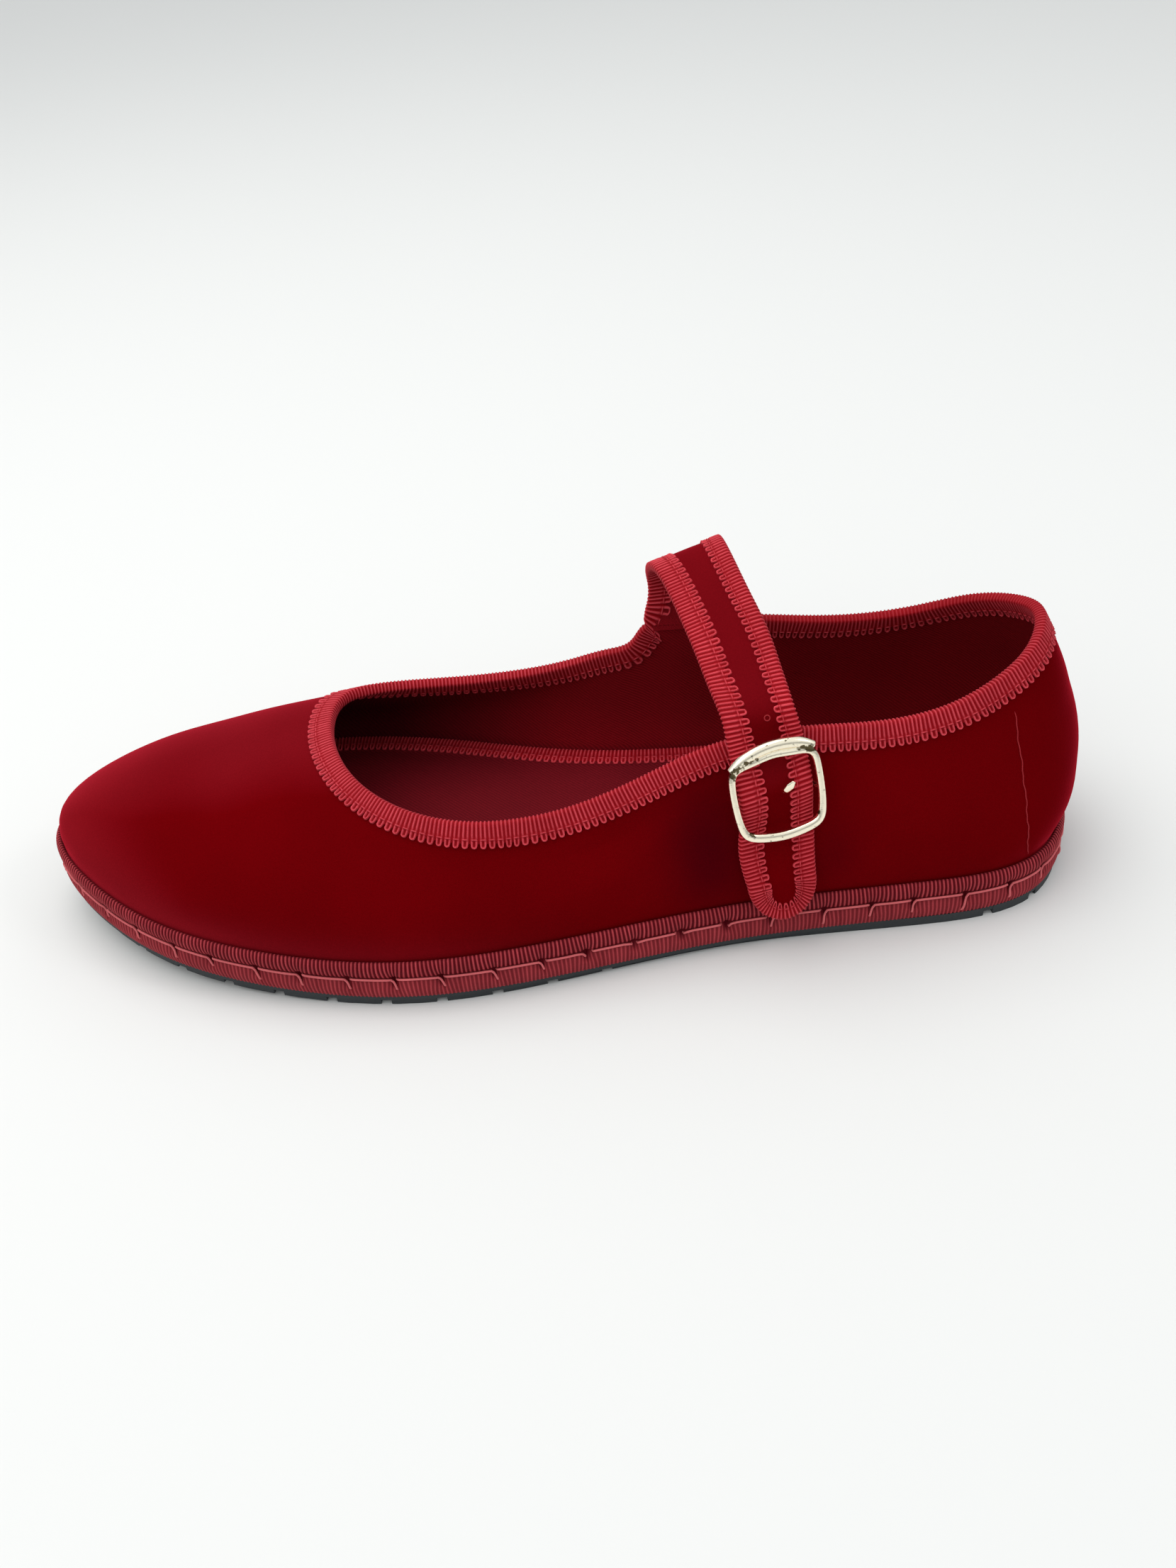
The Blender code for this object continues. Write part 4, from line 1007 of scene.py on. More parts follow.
def build_topline_tape():
    lengths, steps, grid, normals = TOPLINE
    rows = np.arange(len(steps))

    def read(table, depth):
        place = np.clip(depth / TAPE_STEP, 0.0, table.shape[1] - 1.001)
        low = place.astype(int)
        part = (place - low)[:, None]
        return table[rows, low] * (1.0 - part) + table[rows, low + 1] * part

    def leg(width, sign, deep):
        """Points and directions down one face of the wall, deep mm behind its outer face."""
        def away(share):
            return unit(read(normals, share * width)) * sign
        return lambda share: read(grid, share * width) + away(share) * deep, away, width

    side, up = normals[:, 0], unit(grid[:, 0] - grid[:, 2])
    centre = grid[:, 0] - side * WALL / 2
    # painted shade: less highlight on the fold along the far, inner side of the collar
    far_side_shade = ramp(centre[:, 0], 118.0, 98.0) * ramp(centre[:, 1], -10.0, 4.0)
    tape = folded_tape(
        "topline_tape_cloth", steps, (leg(TAPE_OUT, 1.0, 0.0), leg(TAPE_IN, -1.0, WALL)), centre, side, up,
        WALL / 2 + CLOTH_LOW + RIB_HEIGHT / 2, 0.6, seed=4, pale=TAPE_PALE - TAPE_FAR_SHADE * far_side_shade)
    hand_over(tape, TAPE_CLOTH, 80.0, "tape", "topline_tape")
    print("topline tape, mm long", round(lengths[-1], 1))


build_topline_tape()

# %% [markdown]
# ## Strap
#
# The strap is a narrow piece of velvet over lining, bound round its whole free edge with
# the same tape. It springs in an arch over the instep and then lies down on the outer
# wall, through the buckle, and ends round. Its two edges are the guides: rows of points
# over the arch, then rows measured along the wall with the height it stands off it.

# %% The strap's edges
# toe edge and heel edge of each row over the arch: s, y, z
STRAP_ARCH = np.array((
    (101.3, 26.7, 54, 80.8, 24.2, 55.4), (100.6, 27.3, 58, 80.9, 25.7, 60),
    (99.9, 27.6, 62.6, 81, 26.8, 65.8), (100.3, 25.7, 69.2, 81.8, 25.5, 75.2),
    (98.9, 19.2, 73.3, 81.8, 19.6, 79.4), (96.1, 10, 72.7, 80.2, 10.6, 78.9),
    (93.6, 0.5, 70.1, 77.7, 0.6, 75.9), (91, -9.2, 66.4, 74.6, -9.6, 71.4),
    (88.6, -18.6, 62.2, 72.4, -19.2, 65.8), (86.4, -26.6, 57.6, 70.4, -26.8, 60.2),
))
# the same on the wall: s, z and the height off it
STRAP_WALL = np.array((
    (85.4, 50.8, 3.1, 69.2, 54, 2.8), (84.5, 45.6, 5.6, 68.4, 48.8, 4),
    (84.1, 42, 6.4, 68, 45.2, 4.6), (83.9, 38.4, 4.8, 67.8, 41.6, 3.5),
    (84.2, 34.6, 2.9, 67.7, 37.4, 2), (84.6, 30.6, 2.1, 67.6, 33, 1.9),
    (84.2, 26, 2, 67.6, 28.4, 2), (83, 20.6, 2.7, 67.4, 22.4, 2.7),
))
STRAP_THICK = 1.2
STRAP_ROOT = 2.6               # the strap is sewn in between the wall's layers this far
TIP_LENGTH = 11.4
TIP_ROWS = 61


def off_wall(s, z, lift):
    """The point this many mm off the outer wall at s and z."""
    hit, normal = outer_wall(s, z)
    return hit + normal * lift


def strap_edges(count):
    wall = [[off_wall(*end) for end in row.reshape(2, 3)] for row in STRAP_WALL]
    rows = np.concatenate([STRAP_ARCH.reshape(-1, 2, 3), wall])
    knots = along(rows.mean(axis=1))
    fine = cubic(knots, rows.reshape(len(rows), 6), np.linspace(0.0, knots[-1], count)).reshape(count, 2, 3)
    rooted = fine[:1] - unit(fine[3:4] - fine[:1]) * np.array([STRAP_ROOT, STRAP_ROOT / 2])[:, None, None]
    return np.concatenate([rooted, fine])


EDGES = strap_edges(241)
MIDDLE = EDGES.mean(axis=1)
ACROSS = (EDGES[:, 0] - EDGES[:, 1]) / 2
FACE = unit(np.cross(np.gradient(MIDDLE, axis=0), ACROSS))
if FACE[80, 2] < 0.0:
    FACE = -FACE


def tip_fan():
    """The round end: rim points, and the face's direction there."""
    turn = np.linspace(0.0, math.pi, TIP_ROWS + 2)[1:-1]
    run = unit(off_wall(MIDDLE[-1][0] - 0.6, MIDDLE[-1][2] - 8.5, 3.6) - MIDDLE[-1])
    rim = [MIDDLE[-1] + ACROSS[-1] * math.cos(a) + run * TIP_LENGTH * math.sin(a) for a in turn]
    face = unit(np.cross(run, ACROSS[-1]))
    return np.array(rim), face if face @ FACE[-1] > 0.0 else -face


RIM, TIP_FACE = tip_fan()
print("strap, mm along its middle", round(along(MIDDLE)[-1] + TIP_LENGTH, 1))

# %% Velvet and lining of the strap
STRAP_INSET = 0.9              # the cloth ends this far inside the tape's edge
STRAP_CROWN, CROWN_ROWS = 0.25, 12.0    # its middle is raised, from row 12 on in full


def build_strap():
    """Rows across the strap from edge to edge; the last rows shrink into the round end."""
    shares = np.linspace(-1.0, 1.0, 15)
    wide = np.linalg.norm(ACROSS, axis=1)
    rows = [middle + np.outer(shares * (half - STRAP_INSET) / half, across)
            for middle, across, half in zip(MIDDLE, ACROSS, wide)]
    run, side = unit(RIM[30] - MIDDLE[-1]), unit(ACROSS[-1]) * (wide[-1] - STRAP_INSET)
    angles = np.linspace(0.0, math.pi / 2, 22)[1:]
    for angle in angles:
        ahead = math.sin(angle) * (TIP_LENGTH - STRAP_INSET)
        rows.append(MIDDLE[-1] + run * ahead + np.outer(shares * max(math.cos(angle), 0.02), side))
    faces = np.vstack([FACE, np.tile(TIP_FACE, (len(angles), 1))])
    rows, faces = np.array(rows), np.repeat(faces[:, None], len(shares), axis=1)
    rise = ramp(np.arange(len(rows)), 0.0, CROWN_ROWS)[:, None]
    crown = (STRAP_CROWN * (1.0 - shares ** 2)[None, :] * rise)[..., None]
    top = rows + faces * (STRAP_THICK / 2 + crown)
    strap = sew_sheet("strap_velvet", top, faces, STRAP_THICK * 0.6)
    # painted light: the strap paler where it faces up
    paint_velvet_light(strap, (0.0, 0.0, 1.0), 0.20, 0.95, 0.28)
    hand_over(strap, VELVET, 50.0, "velvet", "strap")
    below = (rows - faces * STRAP_THICK / 2)[::3, ::2]
    lining = sew_sheet("strap_lining", below, -faces[::3, ::2], STRAP_THICK * 0.45)
    hand_over(lining, WALL_TWILL, 50.0, "lining")


build_strap()

# %% Punched mark of the spare hole
HOLE_ALONG, HOLE_BESIDE = 79.8, -1.7   # mm along the strap's middle from its root, and beside it
HOLE_RING, HOLE_RIM, HOLE_PROUD = 0.62, 0.14, 0.24


def build_spare_hole():
    """A second hole was pressed into the velvet but never opened: only its rim shows."""
    place = int(np.searchsorted(along(MIDDLE), HOLE_ALONG))
    middle = MIDDLE[place] + FACE[place] * (STRAP_THICK / 2 + HOLE_PROUD) + unit(ACROSS[place]) * HOLE_BESIDE
    deselect()
    bpy.ops.mesh.primitive_torus_add(
        major_segments=28, minor_segments=8, major_radius=HOLE_RING * MM, minor_radius=HOLE_RIM * MM,
        location=tuple(to_frame(middle)),
        rotation=Vector(FACE[place] * TURN).to_track_quat("Z", "Y").to_euler())
    ring = bpy.context.object
    ring.name = ring.data.name = "spare_hole_mark"
    bpy.ops.object.transform_apply(location=True, rotation=True, scale=True)
    hand_over(ring, SEAM_THREAD, 80.0, "velvet")


build_spare_hole()

# %% Tape of the strap
# share of the strap's length, width of its tape on the toe side and on the heel side
STRAP_TAPE_WIDTH = np.array((
    (0, 5.7, 5.7), (0.1, 5.6, 4.6), (0.45, 6, 4.3),
    (0.64, 5.4, 4), (0.8, 5.8, 5), (1, 4.8, 4.6)))
STRAP_RIB = 1.04               # the strap's tape is pulled a little longer than the topline's
CORNER = 8.0                   # over this length the tape turns from the topline to the strap
TAPE_OVER = 0.5                # the fold lies this far inside the strap's edge


def strap_side(side, which):
    """One side's guide, root to tip: edge points, way inward, face, half thickness."""
    _, _, grid, normals = TOPLINE
    start = grid[which, 0] - normals[which, 0] * WALL / 2      # where the topline's tape stops
    down, out = unit(grid[which, 8] - grid[which, 0]), normals[which, 2]
    points = np.vstack([start, EDGES[2:, side]])
    inward = unit(np.vstack([MIDDLE[2], MIDDLE[2:]]) - points)
    turned_in = ramp(along(points), 0.0, CORNER)
    turned_in = (turned_in ** 2 * (3.0 - 2.0 * turned_in))[:, None]
    inward = unit(down * (1.0 - turned_in) + inward * turned_in)
    faces = unit(out * (1.0 - turned_in) + np.vstack([FACE[2], FACE[2:]]) * turned_in)
    half = WALL / 2 + (STRAP_THICK / 2 - WALL / 2) * turned_in
    return points + inward * TAPE_OVER * turned_in, inward, faces, half


def build_strap_tape():
    """One guide down the toe side, round the tip and back up the heel side."""
    toe, heel, tip_in = strap_side(0, -1), strap_side(1, 0), unit(MIDDLE[-1] - RIM)
    tip = (RIM + tip_in * TAPE_OVER, tip_in, np.tile(TIP_FACE, (TIP_ROWS, 1)),
           np.full((TIP_ROWS, 1), STRAP_THICK / 2))
    guide = [np.vstack([a, b, c[::-1]]) for a, b, c in zip(toe, tip, heel)]
    shares, toe, heel = STRAP_TAPE_WIDTH.T
    toe, heel = (np.interp(np.linspace(0.0, 1.0, len(EDGES) - 1), shares, width) for width in (toe, heel))
    widths = np.concatenate([toe, np.linspace(toe[-1], heel[-1], TIP_ROWS), heel[::-1]])[:, None]
    lengths, steps = even_steps(guide[0], STRAP_RIB)
    rows = np.hstack([*guide, widths])
    table = np.stack([np.interp(lengths, along(guide[0]), column) for column in rows.T], -1)
    edge, toward, face = table[:, :3], unit(table[:, 3:6]), unit(table[:, 6:9])
    half, width = table[:, 9:10], table[:, 10]

    def leg(sign):
        return (lambda share: edge + toward * (width * share)[:, None] + face * half * sign,
                lambda share: face * sign, width)

    tape = folded_tape("strap_tape_cloth", steps, (leg(1.0), leg(-1.0)), edge, face, -toward,
                       half + CLOTH_LOW + RIB_HEIGHT / 2, 0.75, seed=9)
    hand_over(tape, STRAP_CLOTH, 80.0, "tape", "strap_tape")
    print("strap tape, mm long", round(lengths[-1], 1))


build_strap_tape()

# %% [markdown]
# ## The sole's edge
#
# The textile sole is wrapped in a second tape that is sewn on by hand: one long thread
# lies along the middle of the edge, and dives in every eleven millimetres with a short
# slanted stitch that pinches the tape. The band is one ring of closed sections, ribbed
# as the binding is, with the pinches pressed into it. The thread is a set of thin curves
# laid on the finished band and then turned into mesh.

# %% Section of the band, and where the stitches pinch it
BAND_LOW = 2.72
# height share, outward swell: two rolls parted by the seam
BAND_SECTION = np.array((
    (0, -0.3), (0.24, 0.32), (0.55, 0), (0.78, 0.38), (0.94, 0), (1, -0.45)))
BAND_SEAM = 0.56
BAND_SHARES = (0.0, 0.06, 0.14, 0.22, 0.30, 0.37, 0.43, 0.48, 0.52, 0.56, 0.60, 0.66, 0.73, 0.81,
               0.88, 0.94, 1.0)
BAND_RIB = 0.31
BAND_LOW_LEG = 0.75            # ribs of the lower roll against those of the upper
PINCH_COUNT, PINCH_FIRST = 52, 5.0
PINCH_DEEP, PINCH_PUFF, SEAM_DEEP = 0.95, 0.20, 0.28
PINCH_SPACING = AROUND / PINCH_COUNT
HAND = np.random.default_rng(11)       # no two stitches made by hand are quite alike
PINCH_AT = PINCH_FIRST + PINCH_SPACING * (np.arange(PINCH_COUNT) + HAND.uniform(-0.07, 0.07, PINCH_COUNT))
PINCH_PULL = HAND.uniform(0.75, 1.2, PINCH_COUNT)
# the stitches were sewn towards the toe round the heel's outer side and away from it
# elsewhere: s along that side against the way each one leans, and how much
LEAN = ((50.0, -1.4), (76.0, -0.4), (100.0, -0.15), (102.0, 0.15), (118.0, 0.3), (132.0, 1.0))
LEG_TOP, LEG_SLOPE = 0.8, 4.4          # mm along at the seam, and mm along per share of height
LEG_CREASE = 0.45
DRAWN, DRAWN_REACH = 0.42, 2.6         # how far the ribs are drawn together, and how far off
print("hand stitches", PINCH_COUNT, "and mm from one to the next", round(PINCH_SPACING, 1))

# %% How the stitches pull the tape in


def band_point(at, share, lift=0.0):
    """A point of the band's face at a length round it and a share of its height."""
    swell = cubic(BAND_SECTION[:, 0], BAND_SECTION[:, 1:], share.ravel())[:, 0].reshape(share.shape)
    point, out = on_outline(at)
    point = point + out * (swell + lift)[..., None]
    high = ground(point[..., 0]) + BAND_LOW + share * (BAND_TOP - BAND_LOW)
    return np.concatenate([point, high[..., None]], -1), np.concatenate([out, 0.0 * high[..., None]], -1)


def from_pinch(at):
    """Distance along from the nearest pinch, and how hard that one pulls."""
    nearest = np.rint((at - PINCH_FIRST) / PINCH_SPACING).astype(int) % PINCH_COUNT
    return (at - PINCH_AT[nearest] + AROUND / 2) % AROUND - AROUND / 2, PINCH_PULL[nearest]


def sewn_lean(at):
    s = on_outline(at)[0][..., 0]
    return np.where(at % AROUND < AROUND / 2, np.interp(s, *np.array(LEAN).T), 1.0)


def pinch(at, share):
    """How deep the hand stitches pull the tape in."""
    away, pull = from_pinch(at)
    lean, below = sewn_lean(at), BAND_SEAM - share
    leg = away - np.sign(lean) * (LEG_TOP - LEG_SLOPE * below)
    pulled = bell((away, 1.3), (0.06 - below, 0.15))
    pulled = pulled + LEG_CREASE / PINCH_DEEP * bell((leg, 0.5), (below - 0.2, 0.14)) * np.abs(lean)
    puff = bell((away - 0.3, 1.2), (share - 0.28, 0.09))
    return pull * (PINCH_DEEP * pulled - PINCH_PUFF * puff) + SEAM_DEEP * bell((below, 0.045))


def drawn_in(at, share):
    """The hand stitches draw the ribs together near each pinch."""
    away, pull = from_pinch(at)
    return at - DRAWN * pull * away * bell((away, DRAWN_REACH), (share - BAND_SEAM, 0.28))


# %% The band
# over the top and inwards: mm in from the edge, height, how strongly it is ribbed
BAND_BACK = ((0.75, BAND_TOP + 0.02, 0.6), (1.15, BAND_TOP - 0.25, 0.3), (1.2, SEAT, 0.0),
             (9.0, SEAT, 0.0), (9.0, BAND_LOW, 0.0))


def build_band():
    at, steps = even_steps(LINE)
    crest = crest_mask(np.abs((steps / STEPS) % 1.0 - 0.5) * RIB)
    late = np.roll(crest[:-1], STEPS // 2)
    late = np.append(late, late[0])
    rows = []
    for share in BAND_SHARES:
        low, shares = share < BAND_SEAM, np.full(at.shape, share)
        mask = (late if low else crest) * (1.0 - bell((share - BAND_SEAM, 0.05)))
        lift = BAND_RIB * mask * (BAND_LOW_LEG if low else 1.0) - pinch(at, shares)
        # painted shade: the ribs' painted highlight fades out at each pinch, where the stitch pulls the tape
        # in; the lower roll gets a weaker highlight
        shade = 1.0 - np.clip(1.15 * pinch(at, shares) / PINCH_DEEP, 0.0, 1.0)
        mark = (0.22 + 0.62 * mask if low else mask) * shade * uneven(steps, 31 if low else 32)
        rows.append((*band_point(drawn_in(at, share), shares, lift), mark))
    for inset, height, ribbed in BAND_BACK:
        head = np.tile((0.0, 0.0, 1.0 if height > BAND_LOW else -1.0), (len(at), 1))
        rows.append((on_sole(at, inset, height + BAND_RIB * crest * ribbed), head, crest * ribbed))
    band = close_tube("sole_band", rows, closed=True)
    hand_over(band, EDGE_CLOTH, 80.0, "edge_tape", "midsole")


build_band()

# %% Hand stitches
STITCH_RADIUS = 0.28
SETTLE = 2.0                   # mm after which a stitch lies straight
# along from the nearer pinch, height share, lift off the band
STITCH = np.array((
    (-0.55, 0, -0.35), (-0.45, 0.04, 0.2), (-0.15, 0.14, 0.45), (0.25, 0.24, 0.55), (0.8, 0.305, 0.58),
    (SETTLE, 0.325, 0.55), (PINCH_SPACING / 2, 0.32, 0.5), (PINCH_SPACING - 2.2, 0.33, 0.55),
    (PINCH_SPACING - 1, 0.32, 0.5), (PINCH_SPACING - 0.7, 0.29, 0.2), (PINCH_SPACING - 0.5, 0.26, -0.45)))


def band_stitches():
    """The hand stitches: one long thread each, its two ends diving in at the pinches."""
    chance = np.random.default_rng(52)
    fine, knots = np.linspace(0.0, 1.0, 31), np.linspace(0.0, 1.0, len(STITCH))
    paths = []
    for k, start in enumerate(PINCH_AT):
        offset, share, lift = (np.interp(fine, knots, column) for column in STITCH.T)
        dive, slant, sag = chance.uniform((0.75, 0.4, -0.015), (1.15, 1.5, 0.015))
        offset = np.where(offset < 0.0, offset * slant, offset)
        lean = float(sewn_lean(start))
        share = 0.25 + share + np.clip(0.305 - share, 0.0, None) * (1.0 - dive * abs(lean))
        share = share + sag * np.sin(np.clip(offset / PINCH_SPACING, 0.0, 1.0) * math.pi)
        step = (PINCH_AT[(k + 1) % PINCH_COUNT] - start) % AROUND
        straight = SETTLE + (offset - SETTLE) * (step - SETTLE) / (PINCH_SPACING - SETTLE)
        short = 1.3 * max(0.0, 1.0 - abs(lean))
        reach = short + np.where(offset < SETTLE, offset, straight) * (step - 2.0 * short) / step
        at = start + (reach if lean > 0.0 else step - reach)
        paths.append(band_point(at, share, lift - 0.5 * pinch(at, share))[0])
    return paths


build_threads("band_stitches", band_stitches(), STITCH_RADIUS, THREAD, "edge_tape")

# %% [markdown]
# ## Insole
#
# The footbed is a board covered in the lining's twill, with a raised border of the same
# ribbed tape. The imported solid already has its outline, so a copy of it is cleaned,
# softened with a bevel and covered, and a ribbed ring is laid on its border.

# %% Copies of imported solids


def copy_node(node, name):
    """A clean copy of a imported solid: its own mesh, with its loose triangles joined."""
    take(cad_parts[node])
    bpy.ops.object.duplicate()
    copy = bpy.context.object
    copy.name = copy.data.name = name
    copy.parent = None
    for key in [key for key in copy.keys() if key.startswith("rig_")]:
        del copy[key]
    copy.data.materials.clear()
    weld(copy, 0.000002)
    return copy


def round_edges(piece, width, segments=2, angle=35.0):
    bevel = piece.modifiers.new("soft edge", "BEVEL")
    bevel.width, bevel.segments = width * MM, segments
    bevel.limit_method, bevel.angle_limit = "ANGLE", math.radians(angle)
    apply_all(piece)


# %% Board and its border
INSOLE_EDGE_IN = LIP + GAP + WALL + 2.5 * GAP
INSOLE_TOP = SEAT + GAP + 2.5
INSOLE_TAPE = 6.3
INSOLE_SHARES = np.array((0.02, 0.15, 0.35, 0.58, 0.62, 0.66, 0.72, 0.80, 0.88, 0.94, 1.0))
INSOLE_RIB, INSOLE_SLOT = 0.28, 0.15
INSOLE_SHORTER = 25.0          # mm by which the ring is shorter than the sole's edge


def build_insole():
    board = copy_node("insole", "insole_board")
    round_edges(board, 0.25)
    hand_over(board, BOARD_TWILL, 30.0, "lining", "insole")
    pairs = int(round((AROUND - INSOLE_SHORTER) / (2.0 * RIB)))
    steps = np.arange(pairs * 2 * STEPS + 1)
    drawn, mask = rib_relief(steps, INSOLE_SHARES, INSOLE_TAPE)
    rim = np.isin(INSOLE_SHARES, (INSOLE_SHARES[0], INSOLE_SHARES[-1]))
    lift = np.where(rim, 0.05, 0.30) + INSOLE_RIB * mask - INSOLE_SLOT * (1.0 - mask) * (drawn > SLOT_FROM)
    under = np.full((len(steps), 2), (0.80, 0.10))
    drawn, lift = np.hstack([drawn, under]), np.hstack([lift, 0.0 * under - 0.1])
    # painted highlight on the crests, as on the other tapes
    marks = np.hstack([mask * uneven(steps, 12)[:, None], 0.0 * under])
    at, section = np.linspace(0.0, AROUND, len(steps)), []
    for share, high, mark in zip(drawn.T, lift.T, marks.T):
        points = on_sole(at, (INSOLE_EDGE_IN + INSOLE_TAPE * share)[:, None], INSOLE_TOP + high)
        section.append((points, np.outer(np.sign(high), (0.0, 0.0, 1.0)), mark))
    hand_over(close_tube("insole_tape", section, closed=True), STRAP_CLOTH, 80.0, "tape")


build_insole()

# %% [markdown]
# ## Rubber outsole
#
# The rubber is one moulded plate. Its notched edge is in the solid already, so the copy
# only needs the tread: shallow cross grooves between facing notches, cut with a Boolean,
# and a small bevel, because moulded rubber never has a knife edge.

# %% Tread
NOTCH_PITCH, NOTCH_FIRST, NOTCH_FREE = 13.4, 3.3, (24.0, 112.0)
TREAD_DEEP, TREAD_WIDE = 0.9, 2.2
TREAD_CLEAR = 0.04             # share of its length that a groove keeps off each notch


def tread_lines():
    """Pairs of facing notches, outer and inner, near enough in line."""
    toe, sides = LINE_AT[TOE_INDEX], []
    for start, length in ((0.0, toe), (toe, AROUND - toe)):
        sides.append(on_outline(start + np.arange(NOTCH_FIRST, length - NOTCH_FIRST / 2, NOTCH_PITCH))[0])
    outer, inner = sides
    pairs = []
    for point in outer:
        near = inner[np.abs(inner[:, 0] - point[0]).argmin()]
        free = any(NOTCH_FREE[0] < s < NOTCH_FREE[1] for s in (point[0], near[0]))
        if not free and abs(near[0] - point[0]) < NOTCH_PITCH * 0.6:
            pairs.append((point, near))
    return pairs


def groove_cutter(point, near):
    """A box from notch to notch, half sunk into the rubber and as steep as the sole there."""
    a, b = point + (near - point) * TREAD_CLEAR, near + (point - near) * TREAD_CLEAR
    middle = (a + b) / 2
    place = to_frame(np.array([*middle, float(ground(middle[0]))]))
    deselect()
    bpy.ops.mesh.primitive_cube_add(size=1.0, location=tuple(place))
    cutter = bpy.context.object
    cutter.scale = (TREAD_WIDE * MM, np.linalg.norm(b - a) * MM, 2 * TREAD_DEEP * MM)
    slope = float(ground(middle[0] + 1.0) - ground(middle[0] - 1.0)) / 2.0
    cutter.rotation_euler = (0.0, math.atan(slope), -math.atan2(-(b - a)[0], (b - a)[1]))
    bpy.ops.object.transform_apply(location=False, rotation=True, scale=True)
    return cutter


def build_outsole():
    sole = copy_node("outsole", "outsole_rubber")
    cutter = join([groove_cutter(point, near) for point, near in tread_lines()])
    cut = sole.modifiers.new("tread", "BOOLEAN")
    cut.operation, cut.solver, cut.use_self, cut.object = "DIFFERENCE", "EXACT", True, cutter
    apply_all(sole)
    bpy.data.objects.remove(cutter, do_unlink=True)
    round_edges(sole, 0.18, 1, 50.0)
    hand_over(sole, RUBBER, 30.0, "rubber", "outsole")


build_outsole()

# %% Web behind the notches
WEB_IN, WEB_DEEP = 0.35, 2.6   # mm in from the sole's edge, and how far it reaches in
WEB_LOW = 1.55                 # mm over the sole's underside


def build_web():
    """The notches are moulded in the lower half of the edge only: a web closes the rest."""
    at = np.linspace(0.0, AROUND, 361)
    side, up = np.column_stack([on_outline(at)[1], 0.0 * at]), np.tile((0.0, 0.0, 1.0), (len(at), 1))
    turns = ((WEB_IN, WEB_LOW, side), (WEB_IN, BAND_LOW, side), (WEB_DEEP, BAND_LOW, up),
             (WEB_DEEP, WEB_LOW, -side))
    section = [(on_sole(at, inset, height), head, 0.0 * at) for inset, height, head in turns]
    hand_over(close_tube("outsole_web", section, closed=True), RUBBER, 30.0, "rubber")


build_web()

# %% [markdown]
# ## Buckle
#
# The buckle is a small casting: a cushion-shaped frame, a thicker bar across its top, a
# bar behind the strap and a pin. Cast metal has no sharp inner corners, so the bars are
# swept as tubes of changing thickness, fused with a fine voxel remesh and then smoothed,
# which leaves the soft fillets of a casting where they meet.

# %% Where the buckle sits
BUCKLE_S, BUCKLE_Z = 76.4, 42.6
BUCKLE_TURN, BUCKLE_YAW, BUCKLE_PITCH, BUCKLE_LIFT = 7.5, 6.0, 8.0, 6.8


def turned(first, second, degrees):
    """Two square directions turned in their plane."""
    cos, sin = math.cos(math.radians(degrees)), math.sin(math.radians(degrees))
    return first * cos + second * sin, second * cos - first * sin


SEAT_BASE, SEAT_OUT = outer_wall(BUCKLE_S, BUCKLE_Z)
SEAT_UP = unit(np.array([0.0, 0.0, 1.0]) - SEAT_OUT * SEAT_OUT[2])
SEAT_ACROSS = unit(np.cross(SEAT_UP, SEAT_OUT))
SEAT_ACROSS = SEAT_ACROSS if SEAT_ACROSS[0] < 0.0 else -SEAT_ACROSS
SEAT_ACROSS, SEAT_UP = turned(SEAT_ACROSS, SEAT_UP, BUCKLE_TURN)
SEAT_U, AWAY = turned(SEAT_ACROSS, -SEAT_OUT, BUCKLE_YAW)
SEAT_V, SEAT_W = turned(SEAT_UP, -AWAY, BUCKLE_PITCH)


def seat(u, v, w):
    """u across the strap towards the heel, v up it, w out from the wall, in mm."""
    return SEAT_BASE + SEAT_U * u + SEAT_V * v + SEAT_W * w


print("buckle stands off the wall, mm", BUCKLE_LIFT)

# %% Bars of the casting
# half of the frame and of the crest, top middle outwards: across, up, radius
FRAME = (
    (0, 10.3, 0.8), (5.2, 9.7, 0.8), (9.1, 8.5, 0.85), (10, 5, 0.85), (10, 0, 0.85),
    (9.6, -4.2, 0.9), (8.5, -7.2, 1), (5, -8.7, 1.1), (0, -9.3, 1.1),
)
CREST = ((0, 12.4, 1.3), (3.6, 12.05, 1.3), (7.2, 10.95, 1.2), (9.8, 9.4, 0.95))
FRAME_LEAN, CREST_LEAN = 0.055, 0.09   # the casting is a little skew: up towards the heel
FRAME_THICK = 0.85             # half the frame's thickness; its face is nearly flat
BAR, BAR_LIFT = 0.6, 2.25
# how the hidden bar drops at its ends: mm in from the frame, share of the way down
CRANK = ((0.0, 0.0), (0.5, 0.31), (0.9, 0.78), (1.9, 1.0))
# foot to tip of the pin: place on the buckle's seat, half width, half thickness
PIN = np.array((
    (1, 0.1, 2.25, 0.6, 0.6), (1.5, 0.9, 5.6, 0.62, 0.6), (1.9, 1.3, 7, 0.85, 0.5),
    (2.8, 2.4, 7.9, 1, 0.45), (3.7, 3.6, 8.5, 0.45, 0.25)))
# painted shade on the buckle's face, in the groove between crest and frame and at the frame's lower corners:
# across, up, strength
GROOVE_SHADE_SPOTS = (
    (-9.6, 8, 1), (-8.6, 8.9, 1), (-7.4, 9.5, 1), (-6.2, 10, 0.9), (-5, 10.4, 0.8),
    (-3.8, 10.8, 0.6), (-2.4, 11.1, 0.3), (6, 11.1, 0.5), (7, 10.9, 0.9), (8, 10.5, 1),
    (8.9, 10, 1), (9.7, 9.7, 1), (-7.4, -6.3, 0.8), (7.7, -5.6, 0.8),
)
GROOVE_SHADE_REACH = 0.95
print("frame, mm high", round(FRAME[0][1] - FRAME[-1][1], 1))

# %% Sweep a bar along a path


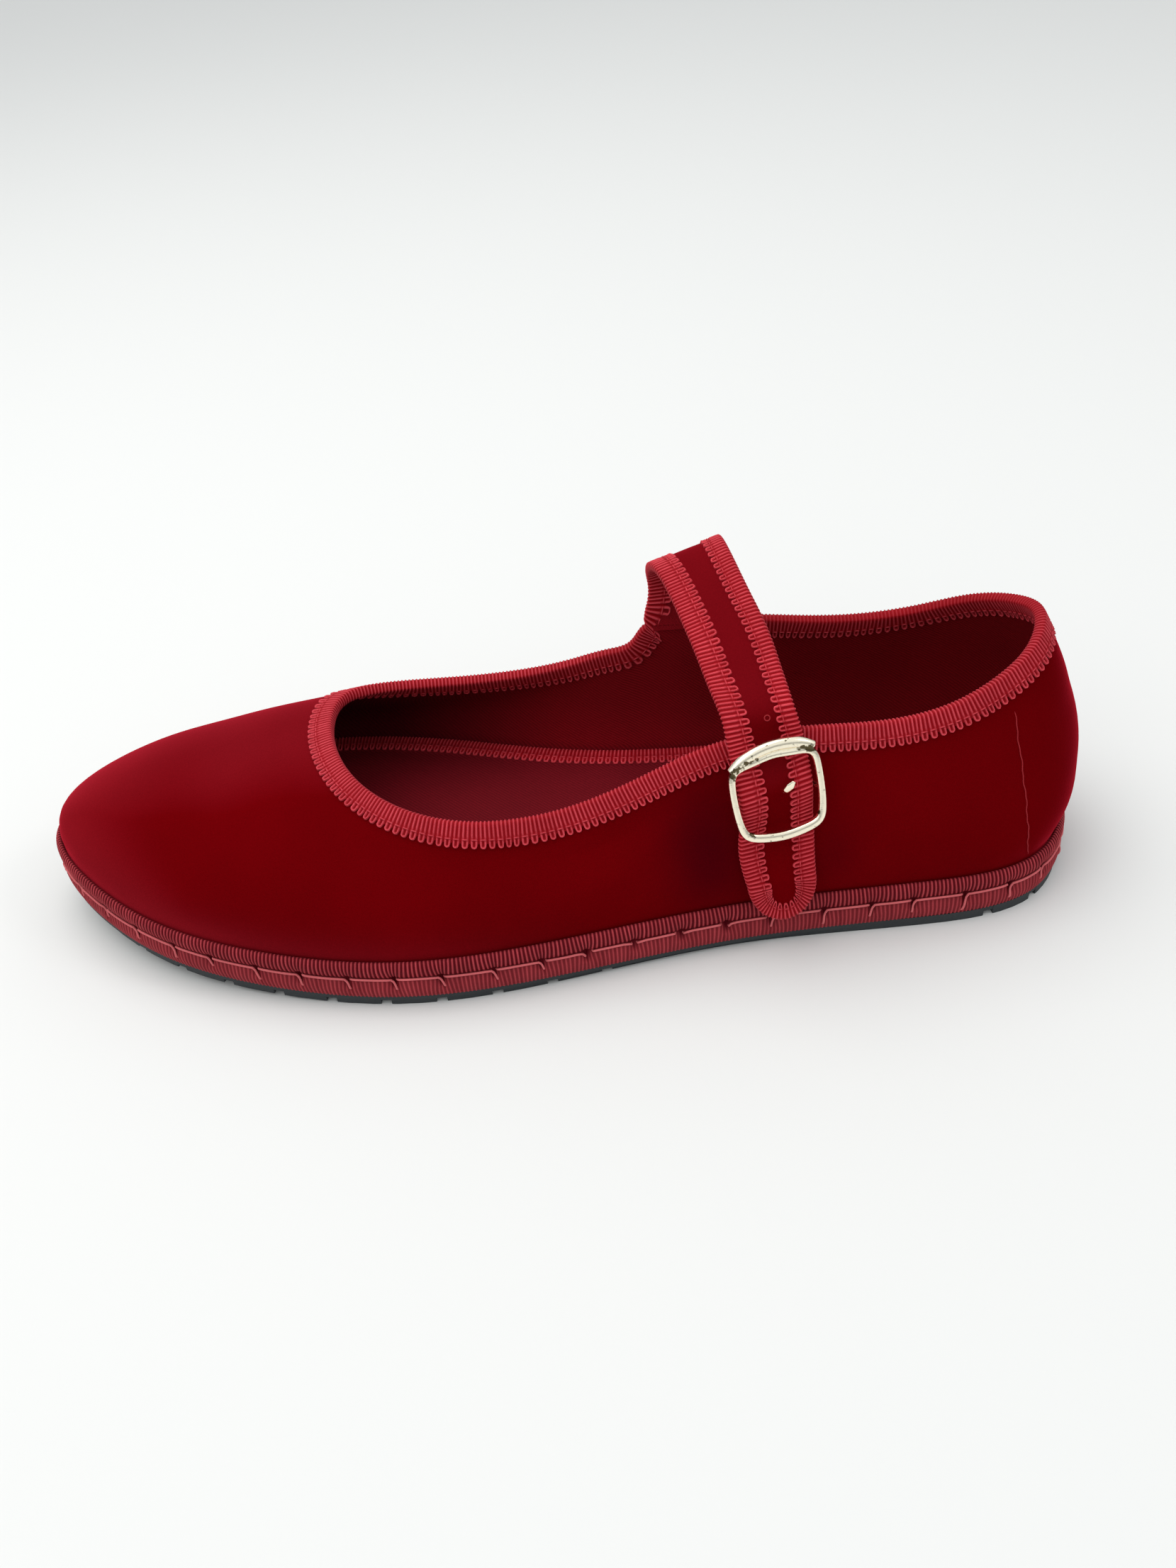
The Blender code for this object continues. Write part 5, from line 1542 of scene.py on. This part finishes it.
def mirrored(half, lean, count, closed=False):
    """A fine line through the half and its mirror image: path on the seat, and radii."""
    half = np.array(half)
    rows = np.vstack([half[::-1] * (-1.0, 1.0, 1.0), half[1:]])
    rows[:, 1] += rows[:, 0] * lean * np.clip(rows[:, 1] / 8.0, 0.0, 1.0)
    knots = along(rows[:, :2])
    fine = cubic(knots, rows, np.linspace(0.0, knots[-1], count), closed)
    fine = fine[:-1] if closed else fine
    return np.array([seat(u, v, BUCKLE_LIFT) for u, v, _ in fine]), fine[:, 2]


def power(value, squareness):
    """A sine or cosine made squarer, with its sign kept."""
    return math.copysign(abs(value) ** (2.0 / squareness), value)


def sweep(name, path, side, half_width, half_thick, closed=False, squareness=2.0):
    """A bar of changing section; side is the direction of its width at each point."""
    path = np.array(path, float)
    side = np.broadcast_to(side, path.shape)
    half_width, half_thick = (np.broadcast_to(half, len(path)) for half in (half_width, half_thick))
    if closed:
        path, side, half_width, half_thick = (
            np.concatenate([part, part[:1]]) for part in (path, side, half_width, half_thick))
    run = unit(np.gradient(path, axis=0))
    if closed:
        run[0] = run[-1] = unit(run[0] + run[-1])
    side = unit(side - run * np.sum(side * run, axis=1, keepdims=True))
    front, section = np.cross(run, side), []
    for angle in np.linspace(0.0, 2.0 * math.pi, 24, endpoint=False):
        wide, deep = power(math.cos(angle), squareness), power(math.sin(angle), squareness)
        off = side * (half_width * wide)[:, None] + front * (half_thick * deep)[:, None]
        section.append((path + off, off, 0.0 * half_width))
    return close_tube(name, section, closed)


# %% Cast the buckle


def groove_shade_mask(buckle):
    """Painted shade: 1 in the groove between crest and frame, strongest towards its two ends."""
    spots, mask = corners(buckle), 0.0
    for u, v, strength in GROOVE_SHADE_SPOTS:
        away = np.linalg.norm(spots - to_frame(seat(u, v, BUCKLE_LIFT + 0.3)), axis=1) / MM
        mask = np.maximum(mask, strength * bell((away, GROOVE_SHADE_REACH)))
    return mask


def across_bar(path):
    return np.cross(unit(np.gradient(path, axis=0)), unit(np.cross(SEAT_U, SEAT_V)))


def build_buckle():
    path, radii = mirrored(FRAME, FRAME_LEAN, 121, closed=True)
    parts = [sweep("frame_bar", path, across_bar(path), radii, FRAME_THICK, True, 2.9)]
    path, radii = mirrored(CREST, CREST_LEAN, 41)
    parts.append(sweep("crest_bar", path, across_bar(path), radii, radii, squareness=2.4))
    half = max(u for u, _, _ in FRAME)
    crank = [(half - inward, BUCKLE_LIFT + (BAR_LIFT - BUCKLE_LIFT) * drop) for inward, drop in CRANK]
    path = [seat(u, 0.0, w) for u, w in [(-u, w) for u, w in crank] + crank[::-1]]
    parts.append(sweep("hidden_bar", path, SEAT_V, BAR, BAR))
    path = [seat(*place) for place in PIN[:, :3]]
    parts.append(sweep("pin", path, SEAT_U * 0.78 - SEAT_V * 0.62, PIN[:, 3], PIN[:, 4]))
    buckle = join(parts)
    buckle.name = buckle.data.name = "buckle_cast"
    fuse = buckle.modifiers.new("fuse", "REMESH")
    fuse.mode, fuse.voxel_size = "VOXEL", 0.15 * MM
    settle = buckle.modifiers.new("settle", "SMOOTH")
    settle.factor, settle.iterations = 0.5, 16
    apply_all(buckle)
    paint(buckle, "groove_shade", groove_shade_mask(buckle))
    hand_over(buckle, GILT, 180.0, "gold", "buckle")


build_buckle()

# %% Loop that holds the buckle's hidden bar


def build_keeper():
    keeper = copy_node("keeper_loop", "keeper_tape")
    round_edges(keeper, 0.08, 1)
    hand_over(keeper, TAPE_CLOTH, 40.0, "tape", "keeper_loop")


build_keeper()
